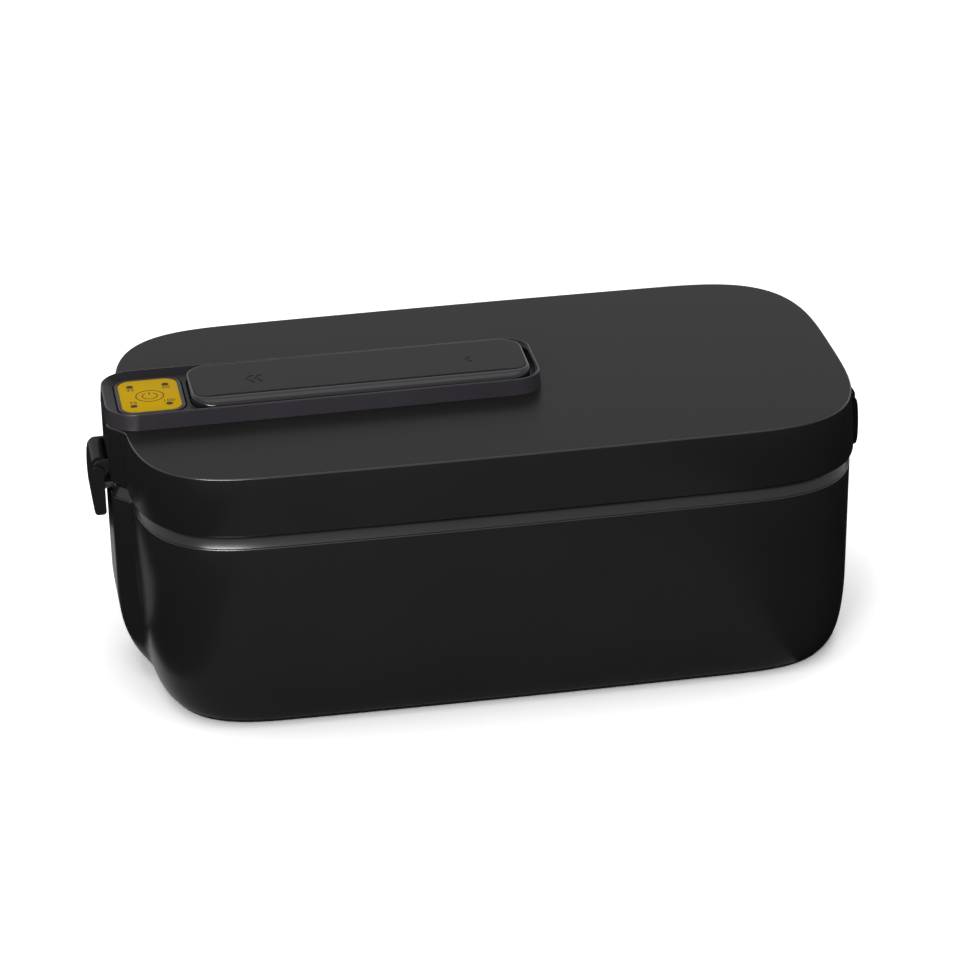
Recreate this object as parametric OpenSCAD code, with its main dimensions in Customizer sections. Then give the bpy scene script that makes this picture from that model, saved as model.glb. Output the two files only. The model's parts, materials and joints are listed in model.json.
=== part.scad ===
// Cordless electric lunch box: a heated base with a steel food container,
// a lift-off lid with a latch at each end, and a battery pack in a cradle on the lid.
// Millimetres. +X along the length (the duct is at -X), +Z up, origin under the middle of the body.

/* [Body outline] */
// Length of the body without the duct
body_l = 250; // [225:1:285]
// Width of the body at its widest
body_w = 136; // [120:1:160]
// How far the long sides bow outward at mid length
side_bow = 1.6; // [0:0.1:4]
// Length of each rounded end along the long sides
end_round = 53.5; // [40:0.5:62]
// Squareness of the rounded ends, where 2 is an ellipse
squareness = 3.5; // [2.6:0.1:4.4]

/* [Heights] */
// Top of the base shell's outer wall
base_h = 68.9; // [60:0.1:90]
// Height of the recessed band between base and lid
band_h = 5.2; // [4.6:0.1:7]
// Height of the lid's side wall
lid_h = 20.6; // [19.6:0.1:30]
// How far the foot pads stand proud of the underside
pad_proud = 0.2; // [0.1:0.05:0.3]

/* [Base shell] */
// Wall of the base shell
base_wall = 2.4; // [1.8:0.1:3]
// Floor of the base shell
base_floor = 3.2; // [2.8:0.1:3.6]
// Draft of the base wall over its whole height
base_draft = 1.9; // [0.5:0.1:4]
// Height of the rounded foot of the base
foot_round_h = 30.8; // [20:0.2:36]
// Width of the rounded foot of the base
foot_round_w = 8.5; // [5:0.1:11]
// Squareness of the rounded foot, where 2 is an ellipse
foot_power = 2.7; // [2:0.1:3.4]
// Set-back of the base wall from the lid's top outline
base_setback = 0.3; // [0:0.1:0.8]

/* [Duct] */
// How far the duct stands out from the left end
duct_depth = 5.6; // [4:0.1:8]
// Half width of the flat face of the duct
duct_flat = 12; // [9:0.5:14]
// Half width of the duct where it meets the body
duct_half = 22; // [19:0.5:26]
// How far the duct's foot draws in towards the table
duct_foot_w = 22; // [12:0.5:26]
// Height of the rounded foot of the duct
duct_foot_h = 34; // [28:0.5:40]
// Squareness of the duct's foot, where 2 is an ellipse
duct_foot_power = 2.3; // [2:0.1:2.8]

/* [Lid] */
// Wall of the lid cover
lid_wall = 2.4; // [1.8:0.1:3]
// Roof of the lid cover
lid_roof = 2.4; // [1.8:0.1:2.6]
// Outward draft of the lid wall from top to bottom
lid_draft = 0.8; // [0.2:0.1:1.5]
// Radius of the lid's top edge
lid_edge_r = 0.7; // [0.5:0.1:1.5]
// Thickness of the lid's inner panel
panel_t = 2; // [1.6:0.1:2.2]
// Height of the inner panel's underside above the lid's lower edge
panel_rise = 3.4; // [3.2:0.1:4]

/* [Band and tub] */
// Slope of the band's face over its height
band_slope = 1.3; // [0.5:0.1:1.6]
// Height of the shadow gap between the band and the lid
shadow_gap_h = 0.9; // [0.5:0.1:1.4]
// Depth of the shadow gap
shadow_gap_d = 0.9; // [0.5:0.1:1.2]
// Thickness of the rim collar's upper wall
collar_wall = 2.7; // [2:0.1:3]
// Width of the shelf that carries the tub
shelf_w = 3.2; // [2.4:0.1:4]
// Thickness of the tub's wall and flange
tub_wall = 1.4; // [1:0.1:1.8]
// Underside of the tub's floor above the table
tub_floor_z = 10; // [9.4:0.1:12]
// Thickness of the tub's floor
tub_floor = 2; // [1.6:0.1:2.4]

/* [Food container] */
// Sheet thickness of the steel container
steel_t = 0.8; // [0.6:0.1:1]
// How far the container wall leans inward towards its floor
container_lean = 1.6; // [0.5:0.1:3]
// Radius round the container's floor
container_foot_r = 6; // [4:0.5:10]
// Thickness of the heating plate under the container
plate_t = 2; // [1.5:0.1:3]

/* [Battery pack] */
// Length of the battery pack
pack_l = 117; // [100:0.2:130]
// Width of the battery pack
pack_w = 32.4; // [28:0.2:36]
// How far the pack's top stands above the lid's top
pack_proud = 6.9; // [6.5:0.1:9]
// Corner radius of the pack
pack_r = 8; // [5:0.5:10]
// Width of the wide rounding along the pack's front top edge
pack_front_w = 3.8; // [2:0.1:5]
// Height of the wide rounding along the pack's front top edge
pack_front_h = 2.4; // [1.5:0.1:3]
// Radius of the pack's other top edges
pack_edge_r = 0.6; // [0.4:0.1:1.2]

/* [Cradle] */
// Height of the cradle's rim above the lid's top
rim_h = 5.8; // [5.2:0.1:6.4]
// Width of the rim beside the pack's pocket
rim_side_w = 3.5; // [2.8:0.1:4]
// Share by which the rim is narrower at its right end than at its left end
rim_taper = 0.055; // [0:0.005:0.1]
// Width of the rim past the pack's right end
rim_end_w = 3.2; // [2.6:0.1:4]
// Width of the rim left of the button's pocket
rim_left_w = 4.4; // [3.8:0.1:5]
// How much the rim's outer wall leans in on its way up
rim_draft = 0.4; // [0.2:0.1:1]
// Width of the narrow crest along the rim's outer edge
crest_w = 0.5; // [0.4:0.1:0.8]
// Wall of the cradle's bays inside the lid
bay_wall = 1.6; // [1.2:0.1:1.8]
// Width of the bar between the button's pocket and the pack's pocket
bar_w = 1.2; // [0.8:0.1:2]

/* [Button] */
// Length of the button cap along the box
cap_l = 23.2; // [20:0.2:26]
// Width of the button cap across the box
cap_w = 30; // [26:0.5:31]
// Corner radius of the button cap
cap_r = 5.6; // [4:0.1:7]
// Height of the cap's face above the lid's top
cap_proud = 4.2; // [3.6:0.1:4.8]
// Width of the dark border round the label
cap_border = 1.2; // [0.8:0.1:2]
// Travel of the button
press_travel = 0.8; // [0.4:0.1:1]
// Distance of the indicator windows from the button's middle, along the box
window_x = 6.1; // [5:0.1:8]
// Distance of the indicator windows from the button's middle, across the box
window_y = 8.4; // [7:0.1:10]

/* [Latches] */
// Width of each latch
latch_w = 24; // [20:0.5:30]
// Height of the hinge pin above the lid's lower edge
latch_pin_rise = 4.6; // [4.2:0.1:6]
// Distance of the hinge pin from the end wall
latch_pin_out = 3.1; // [3.1:0.1:4]
// Radius of the latch's hinge barrel
barrel_r = 2.8; // [2.6:0.1:3]
// Radius of the hinge pin
pin_r = 1.5; // [1.2:0.1:1.6]
// Distance from the hinge pin down to the latch's lower edge
latch_drop = 17.5; // [16:0.1:19]
// Thickness of the latch plate
latch_t = 4; // [3.6:0.1:4.4]

/* [Fits] */
// Clearance between a lifting or sliding piece and its seat
fit_gap = 0.3; // [0.2:0.05:0.4]
// Clearance of a pack or button in its pocket
pocket_gap = 0.4; // [0.3:0.05:0.5]
// Radial clearance of a hinge pin in its barrel
pin_gap = 0.05; // [0.02:0.01:0.1]
// Radial clearance of a screw in its pilot hole
screw_gap = 0.05; // [0.02:0.01:0.1]

/* [Hidden] */
$fn = 48;
eps = 0.01;

// Levels of the whole stack
half_l = body_l / 2;
half_w = body_w / 2 - side_bow;
lid_bottom = base_h + band_h;
lid_top = lid_bottom + lid_h;
panel_z = lid_bottom + panel_rise;
panel_top = panel_z + panel_t;
duct_face = half_l + duct_depth;

// Rim collar, tub and container, as insets from the lid's top outline
band_foot = base_setback + 0.4;
band_head = band_foot + band_slope;
lid_rebate = lid_wall - 0.9;
collar_inner = band_head + collar_wall;
collar_top = lid_bottom + 2.2;
shelf_inner = collar_inner + shelf_w;
shelf_t = 2;
tub_outer = shelf_inner + 0.4;
tub_inner = tub_outer + tub_wall;
container_outer = tub_inner + 0.5;
flange_outer = collar_inner + 0.6;
container_top = collar_top - 0.5;
flange_z = container_top - steel_t;
tub_flange_z = flange_z - fit_gap - tub_wall;
shelf_z = tub_flange_z - shelf_t;
plate_z = tub_floor_z + tub_floor;
plate_top = plate_z + plate_t;
container_floor_z = plate_top + fit_gap;
floor_opening = tub_inner + 14;
plate_inset = tub_inner + 4;
film_t = 1;
film_z = plate_z - film_t;
film_inset = floor_opening + 1.5;
spigot_drop = 3;

// Screws and feet of the base
foot_from_end = 37;
foot_from_side = 29;
foot_x = half_l - foot_from_end;
foot_y = half_w - foot_from_side;
pad_r = 7.8;
pad_recess = 1;
pad_top = pad_proud + pad_recess;
screw_r = 1.45;
head_r = 2.7;
head_h = 1.8;
boss_r = 4;
floor_top = pad_proud + base_floor;
boss_top = floor_top + 2.6;

// Battery cradle, from the duct's face rightwards: rim, button, bar, pack, rim
rim_x0 = -duct_face - 0.2;
button_x0 = rim_x0 + rim_left_w;
button_x = button_x0 + pocket_gap + cap_l / 2;
button_x1 = button_x + cap_l / 2 + pocket_gap;
button_hw = cap_w / 2 + pocket_gap;
pocket_x0 = button_x1 + bar_w;
pack_x0 = pocket_x0 + pocket_gap;
pack_x1 = pack_x0 + pack_l;
pack_hw = pack_w / 2;
pack_bottom = panel_top + 0.5 + bay_wall + fit_gap;
pack_top = lid_top + pack_proud;
pack_split = lid_top + 2;
pack_wall = 1.5;
rim_x1 = pack_x1 + pocket_gap + rim_end_w;
rim_hw = pack_hw + pocket_gap + rim_side_w;
rim_top = lid_top + rim_h;
pocket_lip = lid_top + cap_proud - 0.3;

// Button, its switch and the control board under it
button_floor = lid_top - 1.7;
cap_top = lid_top + cap_proud;
label_t = 0.25;
cap_face = cap_top - label_t;
cap_skirt_bottom = button_floor + press_travel + fit_gap;
board_top = lid_top - 8;
board_t = 1.6;
board_l = cap_l - 1.6;
board_w = cap_w - 0.4;
board_screw_y = board_w / 2 - 2.8;
board_screw_r = 0.9;
board_screw_head_r = 1.9;
board_screw_l = 4;
switch_w = 6;
switch_h = 3.4;
switch_top = board_top + switch_h;
stem_bottom = switch_top + press_travel;
stem_r = 2.6;
stem_clear = 0.6;
plunger_r = 1.6;
window_r = 1;

// Contact strips between the pack and its bay
strip_pitch = 6;
strip_w = 3;
strip_h = 5;
strip_z = pack_bottom + 4;

// Latches and their hinges
pin_z = lid_bottom + latch_pin_rise;
ear_y = latch_w / 2 - 2;
ear_w = 1.8;
ear_r = 2.1;
barrel_hw = ear_y - ear_w / 2 - fit_gap;
pin_l = 2 * ear_y + ear_w - 0.2;
rib_out = 2.6;
rib_z0 = base_h + 0.4;
rib_z1 = rib_z0 + 2.4;
rib_hw = latch_w / 2 - 4;
hook_z1 = rib_z0 - 0.4;
latch_inner = latch_pin_out - 1.3;
latch_skin = latch_inner + 2.2;

// Contact block in the duct
block_x0 = -duct_face + 3.6;
block_x1 = -half_l + collar_inner - 1.4;
block_hw = 8;
pad_pitch = 3.8;
contact_h = 0.3;

// ---------- outline of the body ----------

function unit_reach(t) = pow(pow(abs(cos(t)), squareness) + pow(abs(sin(t)), squareness), -1 / squareness);
function bowed(x, y) = y + sign(y) * side_bow * max(0, 1 - pow(x / half_l, 2));
function duct_share(y) =
    let (v = (abs(y) - duct_flat) / (duct_half - duct_flat))
    v <= 0 ? 1 : v >= 1 ? 0 : (1 + cos(180 * v)) / 2;

// One point of a rounded end: side is 1 for the right end and -1 for the left
function end_point(t, side, inset, reach) =
    let (
        rx = end_round - inset,
        ry = half_w - inset,
        x = side * (half_l - end_round + rx * cos(t) * unit_reach(t)),
        y = ry * sin(t) * unit_reach(t),
        push = side < 0 && reach > 0 ? duct_share(y) * (reach - half_l + inset) : 0
    )
    [x - push, bowed(x, y)];

// Whole outline, counter-clockwise, inset from the lid's top outline.
// A reach above 0 adds the duct, with its face that far out from the middle.
function outline(inset, reach = 0, steps = 12) =
    let (
        right = [for (i = [-steps:steps]) end_point(90 * i / steps, 1, inset, 0)],
        wide = reach > 0 ? 4 : 2,
        coarse = [for (i = [0:steps - wide]) 90 - 90 * i / steps],
        t1 = 90 * wide / steps,
        fine_n = reach > 0 ? 14 : 2,
        fine = [for (i = [1:fine_n]) t1 - t1 * i / fine_n],
        upper = concat(coarse, fine),
        lower = [for (i = [len(upper) - 2:-1:0]) -upper[i]],
        left = [for (t = concat(upper, lower)) end_point(t, -1, inset, reach)],
        straight = half_l - end_round,
        side_x = [for (f = [0.6, 0.2, -0.2, -0.6]) f * straight],
        far = [for (x = side_x) [x, bowed(x, half_w - inset)]],
        near = [for (i = [3:-1:0]) [side_x[i], bowed(side_x[i], inset - half_w)]]
    )
    concat(right, far, left, near);

// Closed solid through rings of equal point count, each ring a list of points in space
module loft_rings(rings) {
    n = len(rings[0]);
    m = len(rings);
    sides = [
        for (k = [0:m - 2]) for (i = [0:n - 1])
        let (j = (i + 1) % n, a = k * n)
        each [[a + i, a + n + i, a + n + j], [a + i, a + n + j, a + j]]
    ];
    bottom = [[for (i = [0:n - 1]) i]];
    top = [[for (i = [n - 1:-1:0]) (m - 1) * n + i]];
    polyhedron([for (ring = rings) each ring], concat(bottom, sides, top));
}

// The same through level rings, each given as [z, points]
module loft(rings) {
    loft_rings([for (ring = rings) [for (p = ring[1]) [p.x, p.y, ring[0]]]]);
}

// Straight-walled slice of the body between two heights
module slice(z0, z1, inset, reach = 0) {
    translate([0, 0, z0])
        linear_extrude(z1 - z0)
            polygon(outline(inset, reach));
}

// Straight-walled ring between two insets
module band(z0, z1, outer, inner, reach = 0) {
    difference() {
        slice(z0, z1, outer, reach);
        slice(z0 - 1, z1 + 1, inner);
    }
}

// ---------- rounded rectangles ----------

// Rounded rectangle from x0 to x1, counter-clockwise, with its own radius at each end
function rounded(x0, x1, hw, r0, r1, steps = 6) = concat(
    [for (i = [0:steps]) let (t = -90 + 90 * i / steps) [x1 - r1 + r1 * cos(t), -hw + r1 + r1 * sin(t)]],
    [for (i = [0:steps]) let (t = 90 * i / steps) [x1 - r1 + r1 * cos(t), hw - r1 + r1 * sin(t)]],
    [for (i = [0:steps]) let (t = 90 + 90 * i / steps) [x0 + r0 + r0 * cos(t), hw - r0 + r0 * sin(t)]],
    [for (i = [0:steps]) let (t = 180 + 90 * i / steps) [x0 + r0 + r0 * cos(t), -hw + r0 + r0 * sin(t)]]
);

module rounded_plate(x0, x1, hw, r, z0, z1) {
    translate([(x0 + x1) / 2, 0, z0])
        linear_extrude(z1 - z0)
            rounded_rect(x1 - x0, 2 * hw, r);
}

module rounded_rect(l, w, r) {
    square([l - 2 * r, w], center = true);
    square([l, w - 2 * r], center = true);
    for (sx = [-1, 1], sy = [-1, 1])
        translate([sx * (l / 2 - r), sy * (w / 2 - r)])
            circle(r);
}

module box(x0, x1, hw, z0, z1) {
    translate([x0, -hw, z0])
        cube([x1 - x0, 2 * hw, z1 - z0]);
}

module post(x, y, z0, z1, r) {
    translate([x, y, z0])
        cylinder(r = r, h = z1 - z0);
}

module at_feet() {
    for (sx = [-1, 1], sy = [-1, 1])
        translate([sx * foot_x, sy * foot_y, 0])
            children();
}

// Round wire through a list of points, with a ring of corners square to the run at each point
module wire(points, r, sides = 8) {
    last = len(points) - 1;
    function run(i) = points[min(i + 1, last)] - points[max(i - 1, 0)];
    loft_rings([
        for (i = [0:last])
        let (t = run(i) / norm(run(i)), u = cross([0, 1, 0], t) / norm(cross([0, 1, 0], t)), v = cross(t, u))
        [for (k = [0:sides - 1]) points[i] + r * (cos(360 * k / sides) * u + sin(360 * k / sides) * v)]
    ]);
}

// ---------- base ----------

function foot_inset(z, h, w, power) =
    z >= h ? 0 : w * (1 - pow(max(0, 1 - pow((h - z) / h, power)), 1 / power));
function base_inset(z) =
    base_setback + base_draft * (base_h - z) / base_h + foot_inset(z, foot_round_h, foot_round_w, foot_power);
// The duct never draws in behind the end of the body
function duct_reach(z) =
    max(duct_face - foot_inset(z, duct_foot_h, duct_foot_w, duct_foot_power), half_l - base_inset(z) + 0.1);

module base_outer() {
    edge = 0.5;
    angles = [90, 84, 75, 62, 48, 32, 16, 0];
    levels = [for (t = angles) foot_round_h * (1 - pow(sin(t), 2 / foot_power))];
    rings = [for (z = levels) [z, outline(base_inset(z), duct_reach(z))]];
    shoulder = base_h - edge;
    loft(concat(rings, [
        [shoulder, outline(base_inset(shoulder), duct_face)],
        [base_h, outline(base_inset(base_h) + edge * 0.7, duct_face - edge * 0.7)]
    ]));
}

module base_cavity() {
    corner = 1.6;
    levels = [floor_top + corner, foot_round_h * 0.3, foot_round_h * 0.55, foot_round_h, base_h + 1];
    rings = [for (z = levels) [z, outline(base_inset(z) + base_wall, duct_reach(z) - base_wall)]];
    low = base_inset(floor_top) + base_wall + corner;
    loft(concat([[floor_top, outline(low, duct_reach(floor_top) - base_wall - corner)]], rings));
}

module base_shell() {
    color([0.13, 0.13, 0.135])
    difference() {
        union() {
            difference() {
                base_outer();
                base_cavity();
            }
            at_feet()
                translate([0, 0, floor_top - 0.5])
                    cylinder(r = boss_r, h = boss_top - floor_top + 0.5);
        }
        translate([-body_l, -body_w, pad_proud - 5])
            cube([2 * body_l, 2 * body_w, 5]);
        at_feet() {
            translate([0, 0, -1])
                cylinder(r = pad_r + 0.2, h = pad_top + 1);
            translate([0, 0, -1])
                cylinder(r = head_r + 0.3, h = pad_top + head_h + 1.1);
            translate([0, 0, -1])
                cylinder(r = screw_r + 0.2, h = boss_top + 2);
        }
    }
}

module foot_pads() {
    color([0.09, 0.09, 0.09])
    at_feet()
        rotate_extrude()
            polygon([[0, 0], [pad_r - 0.6, 0], [pad_r, 0.6], [pad_r, pad_top], [0, pad_top]]);
}

module base_screws() {
    color([0.62, 0.63, 0.65])
    at_feet() {
        translate([0, 0, pad_top + 0.1])
            cylinder(r = head_r, h = head_h);
        translate([0, 0, pad_top + head_h])
            cylinder(r = screw_r, h = plate_z - 1.5 - pad_top - head_h);
    }
}

module rim_collar() {
    band_top = lid_bottom - shadow_gap_h;
    neck = band_head + shadow_gap_d;
    color([0.16, 0.16, 0.17])
    difference() {
        union() {
            difference() {
                loft([
                    [base_h, outline(band_foot, duct_face - band_foot)],
                    [band_top, outline(band_head, duct_face - band_head)],
                    [band_top + 0.1, outline(neck, duct_face - neck)],
                    [collar_top, outline(neck, duct_face - neck)]
                ]);
                slice(base_h - 1, collar_top + 1, collar_inner);
            }
            band(shelf_z, tub_flange_z, collar_inner - 1, shelf_inner);
            band(base_h - spigot_drop, base_h + 1, base_setback + base_wall + 0.3, collar_inner);
            catch_ribs();
        }
        box(block_x0 - 0.1, block_x1 + 0.1, block_hw + 0.1, base_h - spigot_drop - 1, collar_top + 1);
    }
}

// Ribs that the latches hook under, one at each end
module catch_ribs() {
    box(half_l - band_head - 1, half_l + lid_draft + rib_out, rib_hw, rib_z0, rib_z1);
    box(-duct_face - rib_out, -duct_face + band_slope + 1.4, rib_hw, rib_z0, rib_z1);
}

module inner_tub() {
    color([0.2, 0.2, 0.21])
    difference() {
        union() {
            slice(tub_floor_z, flange_z - fit_gap, tub_outer);
            slice(tub_flange_z, flange_z - fit_gap, flange_outer);
            at_feet()
                translate([0, 0, boss_top])
                    cylinder(r = boss_r, h = tub_floor_z - boss_top + 0.5);
        }
        slice(plate_z, flange_z + 1, tub_inner);
        slice(tub_floor_z - 1, plate_z + 1, floor_opening);
        at_feet()
            translate([0, 0, boss_top - 1])
                cylinder(r = screw_r + screw_gap, h = plate_z - 1 - boss_top + 1);
    }
}

module heating_plate() {
    color([0.78, 0.79, 0.8])
    slice(plate_z, plate_top, plate_inset);
}

module heating_film() {
    color([0.75, 0.36, 0.14])
    slice(film_z, plate_z, film_inset);
}

sensor_h = 4;
sensor_z = film_z - sensor_h;
thermostat_r = 7.5;
fuse_x = 18;
fuse_l = 12;

module thermostat() {
    tab = [5, 4, 0.8];
    color([0.12, 0.12, 0.12]) {
        post(0, 0, sensor_z, film_z, thermostat_r);
        for (s = [-1, 1])
            translate([s * (thermostat_r + 0.1), 0, sensor_z + sensor_h * 0.4])
                cube(tab, center = true);
    }
}

module thermal_fuse() {
    color([0.85, 0.85, 0.82])
    translate([fuse_x, -fuse_l / 2, film_z - sensor_h / 2])
        rotate([-90, 0, 0])
            cylinder(r = sensor_h / 2, h = fuse_l);
}

// Sheet strap that presses the thermostat and the fuse against the heating film
module sensor_bracket() {
    strap_t = 0.8;
    strap_hw = 3.5;
    foot_l = 6;
    x0 = -22;
    x1 = 34;
    color([0.7, 0.7, 0.72]) {
        box(x0, x1, strap_hw, sensor_z - strap_t, sensor_z);
        box(x0, x0 + strap_t, strap_hw, sensor_z - eps, film_z);
        box(x1 - strap_t, x1, strap_hw, sensor_z - eps, film_z);
        box(x0 - foot_l, x0 + strap_t, strap_hw, film_z - strap_t, film_z);
        box(x1 - strap_t, x1 + foot_l, strap_hw, film_z - strap_t, film_z);
    }
}

module contact_block() {
    color([0.1, 0.1, 0.1]) {
        box(block_x0, block_x1, block_hw, base_h - 1.5, collar_top - contact_h);
        box(block_x0 + 1.5, block_x1 - 1.2, block_hw - 2, base_h - 4, base_h - 1.4);
    }
}

function contact_y(i) = (i - 1.5) * pad_pitch;
block_x = (block_x0 + block_x1) / 2;

module contact_pads() {
    color([0.83, 0.68, 0.32])
    for (i = [0:3])
        post(block_x, contact_y(i), collar_top - contact_h, collar_top, 1.3);
}

module base_harness() {
    wire_r = 0.8;
    z_low = floor_top + 2.2;
    bend = 4;
    color([0.62, 0.1, 0.08])
    for (i = [0:3]) {
        y = contact_y(i) * 0.6;
        end_x = i < 2 ? -40 : -33;
        wire([
            [block_x, y, base_h - 4], [block_x, y, 18], [block_x + 2, y, 12], [-half_l + 11, y, z_low + 1],
            [-half_l + 17, y, z_low], [end_x - bend, y, z_low], [end_x - 1, y, z_low + 1],
            [end_x, y, z_low + bend * 0.6], [end_x, y, film_z]
        ], wire_r);
    }
}

// ---------- food container ----------

module container_shell(grow, z0, z1) {
    foot = container_foot_r;
    function lean(z) = container_lean * (container_top - z) / (container_top - container_floor_z);
    function inset(z) = container_outer + lean(z) - grow;
    steps = [0, 30, 60, 90];
    loft(concat(
        [for (t = steps)
            let (z = z0 + foot * (1 - cos(t)))
            [z, outline(inset(z) + foot * (1 - sin(t)))]],
        [[z1, outline(inset(z1))]]
    ));
}

module food_container() {
    color([0.8, 0.8, 0.81])
    difference() {
        union() {
            container_shell(0, container_floor_z, container_top - steel_t / 2);
            slice(flange_z, container_top, flange_outer);
        }
        container_shell(-steel_t, container_floor_z + steel_t, container_top + 1);
    }
}

// ---------- lid ----------

module lid_outer() {
    r = lid_edge_r;
    rim = [
        for (t = [0, 30, 60, 90])
        let (in = r * (1 - cos(t)))
        [lid_top - r + r * sin(t), outline(in, duct_face - in)]
    ];
    loft(concat([[lid_bottom, outline(-lid_draft, duct_face)]], rim));
}

module lid_cover() {
    color([0.15, 0.15, 0.155])
    difference() {
        union() {
            difference() {
                lid_outer();
                slice(lid_bottom - 1, panel_top, lid_rebate, duct_face - lid_rebate);
                slice(panel_top - eps, lid_top - lid_roof, lid_wall, duct_face - lid_wall);
            }
            lid_bosses();
            latch_ears();
        }
        cradle_opening();
        at_lid_screws()
            translate([0, 0, panel_z])
                cylinder(r = lid_screw_r + screw_gap, h = lid_screw_l + 3);
        ear_bores();
    }
}

lid_screw_r = 1.25;
lid_screw_head_r = 2.6;
lid_screw_head_h = 1.1;
lid_screw_l = 6.5;
lid_screw_from_end = 26;
lid_screw_from_side = 15;
lid_screw_shift = 10;
lid_boss_r = 3.4;
lid_screw_x = half_l - lid_screw_from_end;
lid_screw_y = half_w - lid_screw_from_side;

// Six screws: two at mid length, the others nearer the middle of the box's width
module at_lid_screws() {
    for (x = [-lid_screw_x + lid_screw_shift, 0, lid_screw_x], s = [-1, 1])
        translate([x, s * (x == 0 ? lid_screw_y : lid_screw_y - lid_screw_shift), 0])
            children();
}

module lid_bosses() {
    at_lid_screws()
        translate([0, 0, panel_top])
            cylinder(r = lid_boss_r, h = lid_top - lid_roof - panel_top + 0.5);
}

// Opening in the lid's roof for the two bays of the cradle
module cradle_opening() {
    gap = 0.2;
    rounded_plate(pack_x0 - pocket_gap - bay_wall - gap, pack_x1 + pocket_gap + bay_wall + gap,
        pack_hw + pocket_gap + bay_wall + gap, pack_r + 1.8, lid_top - lid_roof - 1, lid_top + 1);
    rounded_plate(button_x0 - bay_wall - gap, button_x + cap_l, button_hw + bay_wall + gap,
        cap_r + 1.6, lid_top - lid_roof - 1, lid_top + 1);
}

module at_ends() {
    translate([half_l + lid_draft, 0, 0])
        children();
    translate([-duct_face, 0, 0])
        rotate([0, 0, 180])
            children();
}

// Ears on the end walls that hold the hinge pins
module latch_ears() {
    at_ends()
        for (s = [-1, 1])
            translate([0, s * ear_y + ear_w / 2, pin_z])
                rotate([90, 0, 0])
                    linear_extrude(ear_w) {
                        translate([latch_pin_out, 0])
                            circle(ear_r);
                        translate([-1, -ear_r])
                            square([latch_pin_out + 1, 2 * ear_r]);
                    }
}

module pin_shape(r, w) {
    translate([latch_pin_out, 0, pin_z])
        rotate([90, 0, 0])
            cylinder(r = r, h = w, center = true);
}

module ear_bores() {
    at_ends()
        pin_shape(pin_r + 0.01, latch_w + 4);
}

module latch_pins() {
    color([0.7, 0.7, 0.72])
    at_ends()
        pin_shape(pin_r, pin_l);
}

module lid_inner_panel() {
    color([0.3, 0.3, 0.31])
    difference() {
        slice(panel_z, panel_top, lid_rebate + 0.2, duct_face - lid_rebate - 0.2);
        band(panel_z - 1, panel_z + seal_groove, seal_outer - 0.05, seal_inner + 0.05);
        slice(panel_z - 1, panel_z + 0.5, seal_inner + 5);
        box(block_x0 - 0.1, block_x1 + 0.1, block_hw + 0.1, panel_z - 1, panel_top + 1);
        at_lid_screws() {
            translate([0, 0, panel_z - 1])
                cylinder(r = lid_screw_head_r + 0.2, h = 1.5 + lid_screw_head_h);
            translate([0, 0, panel_z - 1])
                cylinder(r = lid_screw_r + 0.2, h = panel_t + 2);
        }
    }
}

seal_groove = 0.8;
seal_outer = flange_outer + 0.4;
seal_inner = seal_outer + 3.8;

module lid_seal() {
    lip = 1;
    color([0.55, 0.55, 0.56]) {
        band(panel_z - 0.3, panel_z + seal_groove, seal_outer, seal_inner);
        band(container_top + fit_gap, panel_z - 0.3 + eps, seal_outer + lip, seal_inner - lip);
    }
}

module lid_screws() {
    z = panel_z + 0.5;
    color([0.62, 0.63, 0.65])
    at_lid_screws() {
        translate([0, 0, z])
            cylinder(r = lid_screw_head_r, h = lid_screw_head_h);
        translate([0, 0, z + lid_screw_head_h - eps])
            cylinder(r = lid_screw_r, h = lid_screw_l);
    }
}

// ---------- cradle on the lid ----------

rim_left_r = 11.5;
rim_right_r = 9.5;

// Ring of the rim's outside, drawn in all round
function rim_ring(inset) = [
    for (p = rounded(rim_x0 + inset, rim_x1 - inset, rim_hw - inset, rim_left_r - inset, rim_right_r - inset))
    [p.x, p.y * (1 - rim_taper * (p.x - rim_x0) / (rim_x1 - rim_x0))]
];

module rim_outer() {
    round_off = 0.25;
    loft([
        [lid_top, rim_ring(0)],
        [rim_top - round_off, rim_ring(rim_draft)],
        [rim_top, rim_ring(rim_draft + round_off)]
    ]);
}

// Dish that falls from the rim's crest to the lip of both pockets
module rim_dish() {
    lip = 0.2;
    crest = rim_draft + crest_w;
    loft([
        [pocket_lip, rounded(button_x0 - lip, pack_x1 + pocket_gap + lip, pack_hw + pocket_gap + lip,
            cap_r + 0.6, pack_r + 0.4)],
        [rim_top, rim_ring(crest)],
        [rim_top + 1, rim_ring(crest)]
    ]);
}

module bay(x0, x1, hw, r, z0) {
    rounded_plate(x0 - bay_wall, x1 + bay_wall, hw + bay_wall, r + bay_wall, z0 - bay_wall, lid_top + eps);
}

module battery_cradle() {
    color([0.2, 0.19, 0.21])
    difference() {
        union() {
            rim_outer();
            bay(pocket_x0, pack_x1 + pocket_gap, pack_hw + pocket_gap, pack_r + 0.2, pack_bottom - fit_gap);
            bay(button_x0, button_x1 - bay_wall / 2, button_hw, cap_r + 0.4, button_floor);
            board_posts();
        }
        rounded_plate(pocket_x0, pack_x1 + pocket_gap, pack_hw + pocket_gap, pack_r + 0.2,
            pack_bottom - fit_gap, rim_top + 1);
        rounded_plate(button_x0, button_x1, button_hw, cap_r + 0.3, button_floor, rim_top + 1);
        rim_dish();
        post(button_x, 0, button_floor - bay_wall - 1, button_floor + 1, stem_r + stem_clear);
        for (sx = [-1, 1], sy = [-1, 1])
            post(button_x + sx * window_x, sy * window_y, button_floor - bay_wall - 1, button_floor + 1,
                window_r + 0.4);
        at_board_screws()
            post(0, 0, board_top - 1, button_floor - 1, board_screw_r + screw_gap);
        for (i = [0:2])
            contact_slot(i, 0.05);
    }
}

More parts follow.
